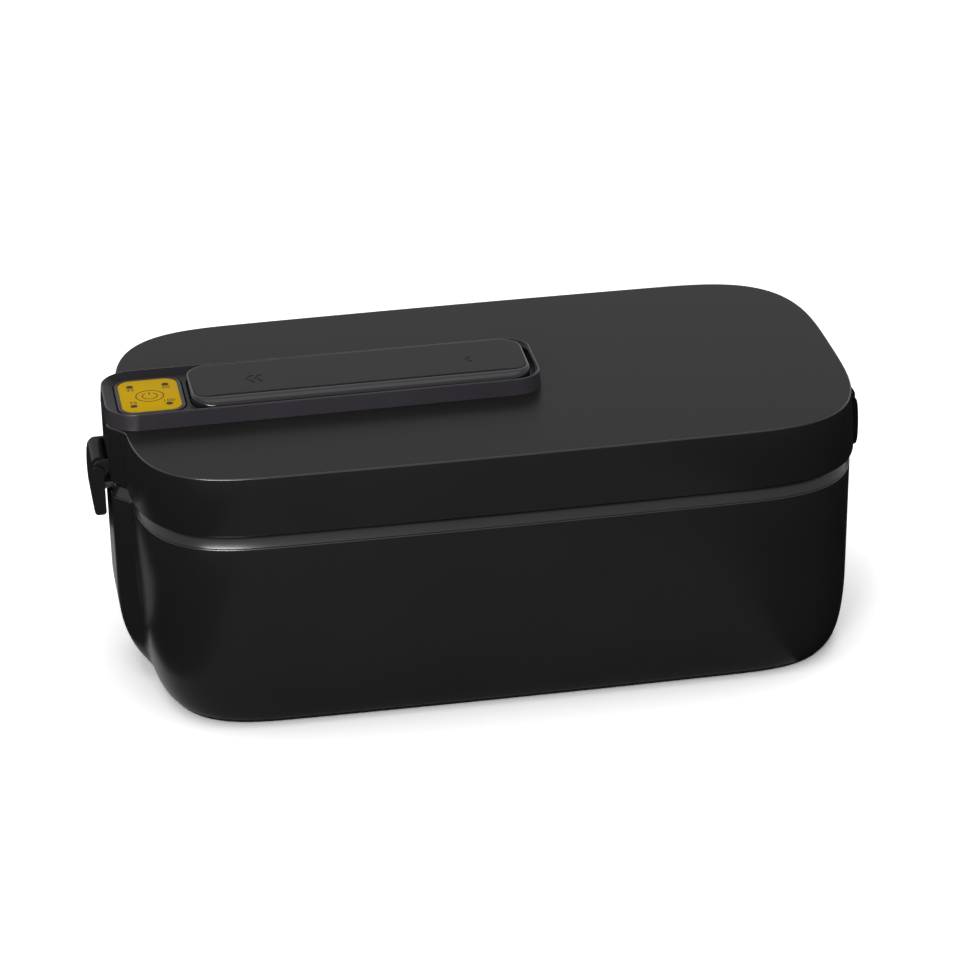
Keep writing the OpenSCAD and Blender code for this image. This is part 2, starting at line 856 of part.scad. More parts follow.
module at_board_screws() {
    for (s = [-1, 1])
        translate([button_x, s * board_screw_y, 0])
            children();
}

module board_posts() {
    at_board_screws()
        post(0, 0, board_top, button_floor, 2.3);
}

// One battery contact strip, or the slot for it when grown
module contact_slot(i, grow) {
    tail = 0.8;
    translate([pocket_x0 - bay_wall - tail, (i - 1) * strip_pitch - strip_w / 2 - grow, strip_z - grow])
        cube([bay_wall + tail + (grow > 0 ? 1 : -0.05), strip_w + 2 * grow, strip_h + 2 * grow]);
}

module battery_contacts() {
    color([0.83, 0.68, 0.32])
    for (i = [0:2])
        contact_slot(i, 0);
}

module control_board() {
    color([0.08, 0.25, 0.14])
    difference() {
        rounded_plate(button_x - board_l / 2, button_x + board_l / 2, board_w / 2, 2,
            board_top - board_t, board_top);
        at_board_screws()
            post(0, 0, board_top - board_t - 1, board_top + 1, board_screw_r + 0.2);
    }
}

module board_screws() {
    color([0.62, 0.63, 0.65])
    at_board_screws() {
        post(0, 0, board_top - board_t - 1.2, board_top - board_t, board_screw_head_r);
        post(0, 0, board_top - board_t - eps, board_top + board_screw_l, board_screw_r);
    }
}

module tact_switch() {
    color([0.15, 0.15, 0.16])
    translate([button_x, 0, board_top])
        difference() {
            translate([-switch_w / 2, -switch_w / 2, 0])
                cube([switch_w, switch_w, switch_h]);
            translate([0, 0, 0.3])
                cylinder(r = plunger_r + 0.15, h = switch_h);
        }
}

module indicator_leds() {
    led = [1.6, 1, 1.2];
    color([0.9, 0.9, 0.85])
    at_windows()
        translate([-led.x / 2, -led.y / 2, board_top])
            cube(led);
}

pin_block_top = panel_top + 1.2;
pin_tail = pin_block_top + 0.6;

module spring_pin_block() {
    color([0.1, 0.1, 0.1])
    box(block_x0, block_x1, block_hw, panel_z + 0.3, pin_block_top);
}

module spring_pins() {
    color([0.83, 0.68, 0.32])
    for (i = [0:3]) {
        post(block_x, contact_y(i), collar_top + fit_gap, panel_z + 0.3, 0.7);
        post(block_x, contact_y(i), pin_block_top, pin_tail, 0.5);
    }
}

module lid_harness() {
    wire_r = 0.6;
    z_end = board_top - board_t;
    z_run = (pin_tail + z_end) / 2;
    bend = 1.4;
    x_end = button_x - 5;
    color([0.62, 0.1, 0.08])
    for (i = [0:3]) {
        y = contact_y(i);
        wire([
            [block_x, y, pin_tail], [block_x, y, pin_tail + 0.4], [block_x + bend * 0.3, y, z_run - 0.4],
            [block_x + bend, y, z_run], [x_end - bend, y, z_run], [x_end - bend * 0.3, y, z_run + 0.4],
            [x_end, y, z_end - 0.4], [x_end, y, z_end]
        ], wire_r);
    }
}

// ---------- button ----------

module cap_plate(z0, z1, shrink) {
    translate([button_x, 0, z0])
        linear_extrude(z1 - z0)
            rounded_rect(cap_l - 2 * shrink, cap_w - 2 * shrink, cap_r - shrink);
}

module at_windows() {
    for (sx = [-1, 1], sy = [-1, 1])
        translate([button_x + sx * window_x, sy * window_y, 0])
            children();
}

module button_cap() {
    edge = 0.35;
    color([0.24, 0.24, 0.25])
    difference() {
        union() {
            cap_plate(cap_skirt_bottom, cap_top - edge, 0);
            cap_plate(cap_top - edge - eps, cap_top, edge);
        }
        difference() {
            cap_plate(cap_skirt_bottom - 1, cap_face - 1.6, 1.3);
            post(button_x, 0, cap_skirt_bottom - 1, cap_face, stem_r);
        }
        cap_plate(cap_face, cap_top + 1, cap_border);
        at_windows()
            post(0, 0, cap_face - 2, cap_top, window_r);
    }
    color([0.24, 0.24, 0.25])
    post(button_x, 0, stem_bottom, cap_skirt_bottom + eps, stem_r);
}

module button_label() {
    color([0.93, 0.75, 0.1])
    difference() {
        cap_plate(cap_face, cap_top, cap_border + 0.05);
        at_windows()
            post(0, 0, cap_face - 1, cap_top + 1, window_r);
    }
}

module indicator_windows() {
    color([0.2, 0.19, 0.14])
    at_windows()
        post(0, 0, cap_face - 1.8, cap_top, window_r - 0.02);
}

module switch_plunger() {
    color([0.8, 0.8, 0.8])
    post(button_x, 0, board_top + 0.3 + press_travel + 0.2, stem_bottom, plunger_r);
}

// ---------- battery pack ----------

module pack_plate(z0, z1, shrink) {
    rounded_plate(pack_x0 + shrink, pack_x1 - shrink, pack_hw - shrink, pack_r - shrink, z0, z1);
}

module pack_lower_case() {
    color([0.14, 0.14, 0.15])
    difference() {
        pack_plate(pack_bottom, pack_split, 0);
        pack_plate(pack_bottom + pack_wall, pack_split + 1, pack_wall);
        for (i = [0:2])
            pack_contact(i, 0.05);
        charge_socket_shape(0.1);
    }
}

// Ring of the pack's top, t degrees up its edge: wide and low along the front, small elsewhere
function pack_ring(t) =
    let (
        small = pack_edge_r * (1 - cos(t)),
        wide = pack_front_w * (1 - cos(t)),
        drop_small = pack_edge_r * (1 - sin(t)),
        drop_wide = pack_front_h * (1 - sin(t)),
        hw = pack_hw,
        outer = rounded(pack_x0, pack_x1, hw, pack_r, pack_r)
    )
    [for (p = outer)
        let (
            front = pow(max(0, -p.y / hw), 3),
            inward = small + (wide - small) * front,
            drop = drop_small + (drop_wide - drop_small) * front,
            mid_x = (pack_x0 + pack_x1) / 2,
            along = p.x - mid_x,
            reach = (pack_x1 - pack_x0) / 2 - pack_r,
            core = [mid_x + max(-reach, min(reach, along)), max(-hw + pack_r, min(hw - pack_r, p.y))],
            out = norm(p - core) > eps ? (p - core) / norm(p - core) : [0, 0],
            q = p - inward * out
        )
        [q.x, q.y, pack_top - drop]];

module pack_top_cover() {
    foot = [for (p = rounded(pack_x0, pack_x1, pack_hw, pack_r, pack_r)) [p.x, p.y, pack_split]];
    color([0.19, 0.19, 0.195])
    difference() {
        loft_rings([foot, for (t = [0, 20, 40, 60, 75, 90]) pack_ring(t)]);
        pack_plate(pack_split - 1, pack_top - pack_front_h - 0.4, pack_wall);
    }
}

// Two flat cells, one above the other
module pack_cells() {
    cell_gap = 0.3;
    cell_floor = pack_bottom + pack_wall;
    cell_t = (pack_split - pack_bottom) / 2 - pack_wall;
    color([0.62, 0.64, 0.67])
    for (z = [cell_floor, cell_floor + cell_t + cell_gap])
        rounded_plate(pack_x0 + 13, pack_x1 - 3, pack_hw - pack_wall - 0.7, 3, z, z + cell_t);
}

module pack_board() {
    board_x = pack_x0 + 7;
    color([0.08, 0.25, 0.14])
    box(board_x, board_x + board_t, pack_hw - 2 * pack_wall, pack_bottom + pack_wall, pack_split - 1);
}

// One contact clip of the pack, or the slot for it when grown
module pack_contact(i, grow) {
    clip_l = 5.4;
    over = grow > 0 ? 1 : 0;
    translate([pack_x0 - over, (i - 1) * strip_pitch - strip_w / 2 - grow, strip_z - grow])
        cube([clip_l + over, strip_w + 2 * grow, strip_h + 2 * grow]);
}

module pack_contacts() {
    sheet_t = 0.6;
    color([0.83, 0.68, 0.32])
    for (i = [0:2])
        difference() {
            pack_contact(i, 0);
            translate([pack_x0 + sheet_t, (i - 1) * strip_pitch - strip_w, strip_z + sheet_t + 0.2])
                cube([10, 2 * strip_w, strip_h]);
        }
}

// USB-C charging socket in the right end of the pack, reached once the pack is lifted out
module charge_socket_shape(grow) {
    translate([pack_x1 - socket_l, 0, pack_bottom + socket_rise])
        rotate([90, 0, 90])
            linear_extrude(socket_l + (grow > 0 ? 1 : 0))
                rounded_rect(socket_w + 2 * grow, socket_h + 2 * grow, socket_h / 2 - 0.05 + grow);
}

socket_l = 2.4;
socket_w = 9;
socket_h = 3.3;
socket_rise = 9;
socket_wall = 0.35;

module charge_socket() {
    color([0.6, 0.6, 0.62])
    difference() {
        charge_socket_shape(0);
        translate([0.5, 0, 0])
            charge_socket_shape(-socket_wall);
    }
}

// ---------- latches ----------

function arc(cx, cy, r, start, end, steps = 4) = [
    for (i = [0:steps])
    let (t = start + (end - start) * i / steps)
    [cx + r * cos(t), cy + r * sin(t)]
];

// Side view of a latch's plate: x is out from the end wall, y is height above the hinge pin
module latch_plate_profile() {
    skin = latch_inner + latch_t;
    tip_r = 1.2;
    top_r = latch_t / 2;
    swell = 0.5;
    steps = 10;
    low = tip_r - latch_drop;
    high = -ear_r - fit_gap - 0.1 - top_r;
    polygon(concat(
        arc(latch_inner + tip_r, low, tip_r, 180, 270),
        arc(skin - tip_r, low, tip_r, 270, 350),
        [for (k = [1:steps - 1]) [skin + swell * sqrt(sin(180 * k / steps)), low + (high - low) * k / steps]],
        arc(skin - top_r, high, top_r, 0, 180, 8)
    ));
}

// Side view of the barrel that turns on the pin, and of its neck down to the plate
module latch_barrel_profile() {
    neck_z = -5;
    difference() {
        union() {
            translate([latch_pin_out, 0])
                circle(barrel_r);
            polygon([[latch_inner, -1], [latch_inner, neck_z], [latch_inner + latch_t + 0.3, neck_z],
                [latch_pin_out + barrel_r, 0]]);
        }
        translate([latch_pin_out, 0])
            circle(pin_r + pin_gap);
    }
}

// Solid from a side view, centred on the box's middle plane, with the pin's height as its zero
module latch_run(half) {
    translate([0, half, pin_z])
        rotate([90, 0, 0])
            linear_extrude(2 * half)
                children();
}

module latch_shape() {
    half = latch_w / 2;
    side_wall = 3;
    difference() {
        union() {
            latch_run(half)
                latch_plate_profile();
            latch_run(barrel_hw)
                latch_barrel_profile();
        }
        // hollow behind the plate
        translate([-1, -half + side_wall, pin_z - latch_drop + 2])
            cube([latch_skin + 1, latch_w - 2 * side_wall, latch_drop - barrel_r - 2.4]);
        latch_corners();
    }
    latch_hook();
}

// Hook that reaches under the catch rib
module latch_hook() {
    root_h = 3.4;
    tip_h = 1.6;
    tip_x = 1.2;
    root_x = latch_skin + 0.2;
    translate([0, 0.5 - rib_hw, hook_z1])
        rotate([-90, 0, 0])
            linear_extrude(2 * rib_hw - 1)
                polygon([[tip_x, 0], [root_x, 0], [root_x, root_h], [tip_x, tip_h]]);
}

// What is cut away round the lower corners in front view
module latch_corners() {
    r = 3;
    for (s = [-1, 1])
        translate([-2, s * (latch_w / 2 - r), pin_z - latch_drop + r])
            difference() {
                translate([0, s > 0 ? 0 : -r - 1, -r - 1])
                    cube([12, r + 1, r + 1]);
                translate([-1, 0, 0])
                    rotate([0, 90, 0])
                        cylinder(r = r, h = 14);
            }
}

module latch_left() {
    color([0.17, 0.17, 0.18])
    translate([-duct_face, 0, 0])
        rotate([0, 0, 180])
            latch_shape();
}

module latch_right() {
    color([0.17, 0.17, 0.18])
    translate([half_l + lid_draft, 0, 0])
        latch_shape();
}

base_shell();
foot_pads();
base_screws();
rim_collar();
inner_tub();
heating_plate();
heating_film();
thermostat();
thermal_fuse();
sensor_bracket();
contact_block();
contact_pads();
base_harness();
food_container();
lid_cover();
lid_inner_panel();
lid_seal();
lid_screws();
latch_pins();
battery_cradle();
control_board();
board_screws();
tact_switch();
indicator_leds();
spring_pin_block();
spring_pins();
lid_harness();
battery_contacts();
button_cap();
button_label();
indicator_windows();
switch_plunger();
pack_lower_case();
pack_top_cover();
pack_cells();
pack_board();
pack_contacts();
charge_socket();
latch_left();
latch_right();
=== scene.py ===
"""Cordless electric lunch box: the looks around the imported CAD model. Shape sizes are in millimetres."""

import json
import math

import bpy
from mathutils import Matrix, Vector


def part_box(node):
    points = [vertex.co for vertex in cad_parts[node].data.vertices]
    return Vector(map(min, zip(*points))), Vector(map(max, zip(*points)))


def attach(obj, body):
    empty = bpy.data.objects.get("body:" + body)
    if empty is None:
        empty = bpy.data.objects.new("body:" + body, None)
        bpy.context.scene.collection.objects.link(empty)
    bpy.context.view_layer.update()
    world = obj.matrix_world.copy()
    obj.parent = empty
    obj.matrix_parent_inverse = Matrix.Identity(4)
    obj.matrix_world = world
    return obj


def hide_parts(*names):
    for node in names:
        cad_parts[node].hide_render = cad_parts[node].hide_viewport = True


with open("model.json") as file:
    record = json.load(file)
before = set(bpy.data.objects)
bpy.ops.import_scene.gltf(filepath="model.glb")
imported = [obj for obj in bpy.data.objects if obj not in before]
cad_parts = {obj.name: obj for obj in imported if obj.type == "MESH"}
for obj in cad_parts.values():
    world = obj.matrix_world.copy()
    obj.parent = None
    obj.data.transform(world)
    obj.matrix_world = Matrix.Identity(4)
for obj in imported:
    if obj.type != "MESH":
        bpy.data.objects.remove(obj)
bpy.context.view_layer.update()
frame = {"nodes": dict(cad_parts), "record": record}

MM = 0.001


def box_mm(node):
    """Lowest and highest corner of a CAD node, in millimetres."""
    low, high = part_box(node)
    return low / MM, high / MM


# ---------- sizes: the CAD's own, save where a comment says that the looks differ ----------

HALF_L = 125.0            # half the body's length without the duct
HALF_W = 66.4             # half its width at the ends' shoulders
SIDE_BOW = 1.6            # outward bow of the long sides
END_ROUND = 53.5          # length of each rounded end
SQUARENESS = 3.5          # exponent of the rounded ends
DUCT_FACE = 130.6         # distance of the duct's face from the middle
DUCT_FLAT = 12.0          # half width of the duct's flat face
DUCT_HALF = 22.0          # half width where the duct meets the body

BASE_DRAFT = 1.9
BASE_SETBACK = 0.3
BASE_WALL = 2.4
BASE_FLOOR_TOP = 3.4
BASE_MID = 50.0           # height above which the walls are straight
BASE_LIP_R = 0.5          # rounding of the upper edge
BASE_CORNER_R = 2.0       # rounding inside, between wall and floor
INNER_LEVELS = (22.0, 14.0, 9.0)
FOOT_ROUND_H = 30.8
FOOT_ROUND_W = 8.5
FOOT_POWER = 2.7          # exponent of the body's foot
FOOT_STEPS = 22
DUCT_FOOT_H = 34.0
DUCT_FOOT_W = 22.0
DUCT_FOOT_POWER = 2.3     # exponent of the duct's foot
PAD_PROUD = 0.2
PAD_R = 7.8
PAD_GAP = 0.2
UNDERCUT_Z = 1.6          # underside of the foot, above a plinth that stands back; only in the looks
UNDERCUT_D = 1.1          # how far the plinth stands back
UNDERCUT_EDGE = 0.2
UNDERSIDE_RING = 4.0      # inset of the ring that holds the underside flat

BAND_FOOT = 0.7
BAND_HEAD = 2.0
SHADOW_GAP_H = 1.8        # gap between the band and the lid, twice as high as the CAD's
SHADOW_GAP_D = 0.9        # its depth
COLLAR_INNER = 4.7
COLLAR_EDGE = 0.3
SPIGOT_H = 3.0            # part of the collar that goes down inside the base
SPIGOT_GAP = 0.4
SHELF_INNER = 7.9
SHELF_T = 2.0
BLOCK_POCKET_H = 5.0
BLOCK_GAP = 0.1
RIB_HALF = 8.0            # half width of the rib that a latch's hook catches
RIB_LOW = 0.4
RIB_HIGH = 2.8
RIB_ROOTS = {"right": HALF_L - BAND_HEAD - 1.0, "left": -DUCT_FACE + 2.4}

TUB_OUTER = 8.3
TUB_INNER = 9.7
TUB_FLANGE_T = 1.4
TUB_FLOOR_LOW = 10.0
TUB_FLOOR_TOP = 12.0
TUB_LEDGE = 14.0          # width of the floor's ledge round the heating plate
TUB_ROUND = 0.6

CONTAINER_OUTER = 10.2
CONTAINER_LEAN = 1.6
CONTAINER_FOOT_R = 6.0
CONTAINER_LIP_R = 1.0
FLANGE_OUTER = 5.3
STEEL_T = 0.8

LID_DRAFT = 0.8
LID_EDGE_R = 0.55         # the CAD's is 0.7
LID_LIP = 0.3
LID_WALL = 2.4
LID_ROOF = 2.4
LID_REBATE = 1.5
PACK_BAY_R = 9.8
BUTTON_BAY_R = 7.2
BUTTON_BAY_OVERLAP = 6.0

PANEL_OPENING = 20.0
GROOVE_OUT = FLANGE_OUTER + 0.35
GROOVE_IN = FLANGE_OUTER + 4.25
GROOVE_H = 0.8
PANEL_LAND = 5.0          # flat ring inside the seal's groove
SEAL_OUT = FLANGE_OUTER + 0.4
SEAL_IN = FLANGE_OUTER + 4.2
SEAL_BACK = 1.1           # height of the seal's back, in the groove
SEAL_LIP = 1.4

POCKET_GAP = 0.4          # clearance of pack and button in their pockets
BAY_WALL = 1.6
BUTTON_WELL = 1.7         # depth of the button's floor under the lid's top
STEM_HOLE_R = 3.2
RIM_SIDE_W = 3.5          # width of the rim beside the pack's pocket
RIM_TAPER = 0.055         # share by which the rim is narrower at its right end
RIM_LEFT_R = 11.5
RIM_RIGHT_R = 9.5
RIM_DRAFT = 0.4
RIM_FOOT = 0.2            # how far the rim goes down into the lid
CREST_W = 0.5
CREST_R = 0.4
LIP_BELOW_CAP = 0.3       # how far the pockets' lip lies under the cap's face
FINGER_GAP = 1.8          # gap past the pack's right end, only in the looks

PACK_R = 8.0
PACK_CORNER = PACK_R + 0.2
PACK_FRONT_W = 3.8
PACK_FRONT_H = 2.4
PACK_EDGE_R = 0.6
SEAM_W = 0.9              # seam along the front, between the pack's frame and its inlay; only in the looks
SEAM_H = 0.6
MARK_DEPTH = 0.15
LEFT_MARKS = (21.0, 24.0)      # places of the arrow marks, from the pack's left end
RIGHT_MARK = 20.0              # from its right end

CAP_R = 5.6
CAP_CORNER = CAP_R + 0.3
CAP_EDGE = 0.35
CAP_SKIRT = 0.6
STEM_R = 2.6
STEM_LIFT = 0.05          # keeps the stem off the switch when the button is down
SEAT_BORDER = 1.2
SEAT_DEPTH = 0.25
SEAT_R = 4.4
LABEL_GAP = 0.2
LABEL_R = 4.6

BASE_H = box_mm("base_shell")[1].z
LID_BOTTOM = box_mm("lid_cover")[0].z
LID_TOP = box_mm("lid_cover")[1].z
COLLAR_TOP = box_mm("rim_collar")[1].z
CRADLE_LOW, CRADLE_HIGH = box_mm("battery_cradle")
PACK_LOW, PACK_HIGH = box_mm("pack_top_cover")
CAP_LOW, CAP_HIGH = box_mm("button_cap")


# ---------- outline of the body ----------

def duct_share(y):
    """How much of the duct's depth stands out at this y: 1 on its face, 0 beside it."""
    v = (abs(y) - DUCT_FLAT) / (DUCT_HALF - DUCT_FLAT)
    return (1 + math.cos(math.pi * min(1.0, max(0.0, v)))) / 2


def bowed(x, y):
    """The y of a point once the long sides are bowed outward."""
    return y + math.copysign(1, y) * SIDE_BOW * max(0.0, 1 - (x / HALF_L) ** 2) if y else 0.0


def end_point(degrees, side, inset, reach):
    """Point of a superellipse end, at side 1 (right) or -1 (left, where a reach above 0 adds the duct)."""
    t = math.radians(degrees)
    c, s = math.cos(t), math.sin(t)
    unit = (abs(c) ** SQUARENESS + abs(s) ** SQUARENESS) ** (-1 / SQUARENESS)
    x = side * (HALF_L - END_ROUND + (END_ROUND - inset) * c * unit)
    y = (HALF_W - inset) * s * unit
    if side < 0 and reach > 0:
        x -= duct_share(y) * (reach - HALF_L + inset)
    return x, bowed(x, y)


def end_angles():
    """Angles of one rounded end from its upper to its lower shoulder, closer together round the duct."""
    coarse = [90 - 60 * i / 30 for i in range(30)]
    fine = [30 - 30 * i / 44 for i in range(44)]
    upper = coarse + fine
    return upper + [0.0] + [-a for a in reversed(upper)]


ANGLES = end_angles()
SIDE_STEPS = [k / 8 for k in range(7, -8, -1)]


def outline(inset, reach=0.0):
    """The body's outline, counter-clockwise, drawn in by inset; a reach above 0 adds the duct's face."""
    straight = HALF_L - END_ROUND
    right = [end_point(a, 1, inset, 0) for a in reversed(ANGLES)]
    left = [end_point(a, -1, inset, reach) for a in ANGLES]
    far = [(f * straight, bowed(f * straight, HALF_W - inset)) for f in SIDE_STEPS]
    near = [(-f * straight, bowed(f * straight, inset - HALF_W)) for f in SIDE_STEPS]
    return right + far + left + near


def ring(z, inset, reach=0.0):
    return [(x, y, z) for x, y in outline(inset, reach)]


def duct_ring(z, inset):
    """Ring with the duct, the same distance inside the lid's outline all round."""
    return ring(z, inset, DUCT_FACE - inset)


CORNER_STEPS = 14


def rounded(x0, x1, half_w, r0, r1):
    """Rounded rectangle from x0 to x1, counter-clockwise, with its own corner radius at each end."""
    corners = [
        (x1 - r1, -half_w + r1, r1, -90), (x1 - r1, half_w - r1, r1, 0),
        (x0 + r0, half_w - r0, r0, 90), (x0 + r0, -half_w + r0, r0, 180),
    ]
    points = []
    for cx, cy, r, start in corners:
        for i in range(CORNER_STEPS + 1):
            t = math.radians(start + 90 * i / CORNER_STEPS)
            points.append((cx + r * math.cos(t), cy + r * math.sin(t)))
    return points


def disc(x, r):
    """Arguments of rounded() for a circle."""
    return x - r, x + r, r, r, r


def quarter(steps=3):
    """Shares (1 - cos, 1 - sin) along a quarter turn, from (0, 1) to (1, 0)."""
    turn = [math.radians(90 * i / steps) for i in range(steps + 1)]
    return [(1 - math.cos(t), 1 - math.sin(t)) for t in turn]


def at_z(points, z):
    return [(x, y, z) for x, y in points]


# ---------- mesh helpers ----------

SHARP_ANGLE = 35          # edges sharper than this stay crisp
PAST = 1.0                # how far a cutter goes past the surface that it opens


def add_object(name, data):
    added = bpy.data.objects.new(name, data)
    bpy.context.scene.collection.objects.link(added)
    return added


def smooth(piece):
    piece.data.polygons.foreach_set("use_smooth", [True] * len(piece.data.polygons))
    piece.data.set_sharp_from_angle(angle=math.radians(SHARP_ANGLE))


def make_object(name, points, faces, material):
    mesh = bpy.data.meshes.new(name)
    mesh.from_pydata([(x * MM, y * MM, z * MM) for x, y, z in points], [], faces)
    mesh.update()
    piece = add_object(name, mesh)
    mesh.materials.append(material)
    smooth(piece)
    return piece


def loft(name, rings, material, loop=False):
    """Closed skin through rings of equal point count, capped at both ends or joined round by loop."""
    n = len(rings[0])
    m = len(rings)
    points = [p for r in rings for p in r]
    faces = []
    for k in range(m if loop else m - 1):
        a, b = k * n, (k + 1) % m * n
        for i in range(n):
            j = (i + 1) % n
            faces.append((a + i, a + j, b + j, b + i))
    if not loop:
        faces.append(tuple(reversed(range(n))))
        faces.append(tuple((m - 1) * n + i for i in range(n)))
    return make_object(name, points, faces, material)


def plate(name, shape, z0, z1, material, edge=0.0):
    """Flat plate of a rounded rectangle given as rounded()'s arguments, with softened edges."""
    x0, x1, half_w, r0, r1 = shape

    def drawn_in(d, z):
        return at_z(rounded(x0 + d, x1 - d, half_w - d, max(r0 - d, 0.05), max(r1 - d, 0.05)), z)

    if edge <= 0:
        return loft(name, [drawn_in(0, z0), drawn_in(0, z1)], material)
    low = [drawn_in(edge * b, z0 + edge * a) for a, b in quarter()]
    high = [drawn_in(edge * a, z1 - edge * b) for a, b in quarter()]
    return loft(name, low + high, material)


def extrude_profile(name, profile, y0, y1, material):
    """Solid from a profile of (x, z) points, counter-clockwise seen from -Y, between two y."""
    return loft(name, [[(x, y, z) for x, z in profile] for y in (y1, y0)], material)


def move_y(piece, y):
    piece.data.transform(Matrix.Translation((0, y * MM, 0)))


def combine(target, others, operation):
    """Boolean of target with others, which are used up."""
    for other in others:
        step = target.modifiers.new("combine", "BOOLEAN")
        step.operation = operation
        step.solver = "EXACT"
        step.object = other
        bpy.context.view_layer.objects.active = target
        bpy.ops.object.modifier_apply(modifier=step.name)
        bpy.data.objects.remove(other)
    smooth(target)


def soften(piece, width, segments=2, angle=40):
    """Small rounding of a piece's sharp edges, with flat faces kept flat."""
    bevel = piece.modifiers.new("edge rounding", "BEVEL")
    bevel.width = width * MM
    bevel.segments = segments
    bevel.limit_method = "ANGLE"
    bevel.angle_limit = math.radians(angle)
    bevel.miter_outer = "MITER_ARC"
    flat = piece.modifiers.new("flat faces", "WEIGHTED_NORMAL")
    flat.keep_sharp = False
    flat.weight = 80


def finish_or_shade_faces(piece, material, z0, z1, lean=(0.1, 0.98)):
    """Give a second material to the faces between two heights whose normal's z is within lean: a glossier
    finish, or a darker painted shade.
    """
    mesh = piece.data
    mesh.materials.append(material)
    for face in mesh.polygons:
        if lean[0] < face.normal.z < lean[1] and z0 * MM < face.center.z < z1 * MM:
            face.material_index = 1


def settle(piece, body, slot, *nodes):
    """Ride a piece on its body and hide the CAD nodes that it replaces; slot is not used."""
    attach(piece, body)
    if nodes:
        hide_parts(*nodes)


# ---------- materials ----------

DRIFT_SCALE = 28          # cells per metre of the slow drift in shade and roughness
GRAIN_DEPTH = 0.02        # of moulded plastic
BRUSH_DEPTH = 0.01        # of metal


def add_node(tree, kind, **values):
    """New node with these inputs; an underscore in a key stands for a space."""
    node = tree.nodes.new(kind)
    for key, value in values.items():
        node.inputs[key.replace("_", " ")].default_value = value
    return node


def principled(name, color, roughness, metallic=0.0, specular=0.5):
    material = bpy.data.materials.new(name)
    material.use_nodes = True
    shader = material.node_tree.nodes["Principled BSDF"]
    shader.inputs["Base Color"].default_value = (*color, 1)
    shader.inputs["Roughness"].default_value = roughness
    shader.inputs["Metallic"].default_value = metallic
    shader.inputs["Specular IOR Level"].default_value = specular
    return material, material.node_tree, shader


def noise(tree, scale, detail=3.0, stretch=(1, 1, 1)):
    """Noise over the piece's own space in metres; scale is in cells per metre."""
    place = add_node(tree, "ShaderNodeTexCoord")
    mapping = add_node(tree, "ShaderNodeMapping", Scale=stretch)
    texture = add_node(tree, "ShaderNodeTexNoise", Scale=scale, Detail=detail)
    tree.links.new(place.outputs["Object"], mapping.inputs["Vector"])
    tree.links.new(mapping.outputs["Vector"], texture.inputs["Vector"])
    return texture


def spread(tree, texture, low, high):
    """The texture's middle range stretched from low to high."""
    scale = add_node(tree, "ShaderNodeMapRange", From_Min=0.3, From_Max=0.7, To_Min=low, To_Max=high)
    tree.links.new(texture.outputs["Fac"], scale.inputs["Value"])
    return scale.outputs["Result"]


def add_bump(tree, shader, texture, strength, depth):
    bump = add_node(tree, "ShaderNodeBump", Strength=strength, Distance=depth * MM)
    tree.links.new(texture.outputs["Fac"], bump.inputs["Height"])
    tree.links.new(bump.outputs["Normal"], shader.inputs["Normal"])


def tint(tree, shader, texture, color, amount):
    """Colour that drifts a little lighter and darker about color."""
    mix = tree.nodes.new("ShaderNodeMix")
    mix.data_type = "RGBA"
    mix.inputs["A"].default_value = (*[c * (1 - amount) for c in color], 1)
    mix.inputs["B"].default_value = (*[min(1, c * (1 + amount)) for c in color], 1)
    tree.links.new(spread(tree, texture, 0, 1), mix.inputs["Factor"])
    tree.links.new(mix.outputs["Result"], shader.inputs["Base Color"])


def plastic(name, color, roughness, specular=0.5, grain=0.35, bump=0.12, drift=0.05):
    """Moulded plastic: a fine spark-eroded grain (its size in mm) and a slow drift of shade and roughness."""
    material, tree, shader = principled(name, color, roughness, specular=specular)
    fine = noise(tree, 1000 / grain, detail=2)
    slow = noise(tree, DRIFT_SCALE, detail=4)
    tint(tree, shader, slow, color, drift)
    tree.links.new(spread(tree, slow, roughness * 0.96, roughness * 1.04), shader.inputs["Roughness"])
    add_bump(tree, shader, fine, bump, GRAIN_DEPTH)
    return material


def metal(name, color, roughness, grain=0.2, stretch=(1, 1, 1), bump=0.1):
    """Metal with a grain that stretch turns into brush marks."""
    material, tree, shader = principled(name, color, roughness, metallic=1.0)
    marks = noise(tree, 1000 / grain, detail=3, stretch=stretch)
    tint(tree, shader, marks, color, 0.05)
    tree.links.new(spread(tree, marks, roughness * 0.8, roughness * 1.25), shader.inputs["Roughness"])
    add_bump(tree, shader, marks, bump, BRUSH_DEPTH)
    return material


SHELL_BLACK = (0.0155, 0.0155, 0.0157)

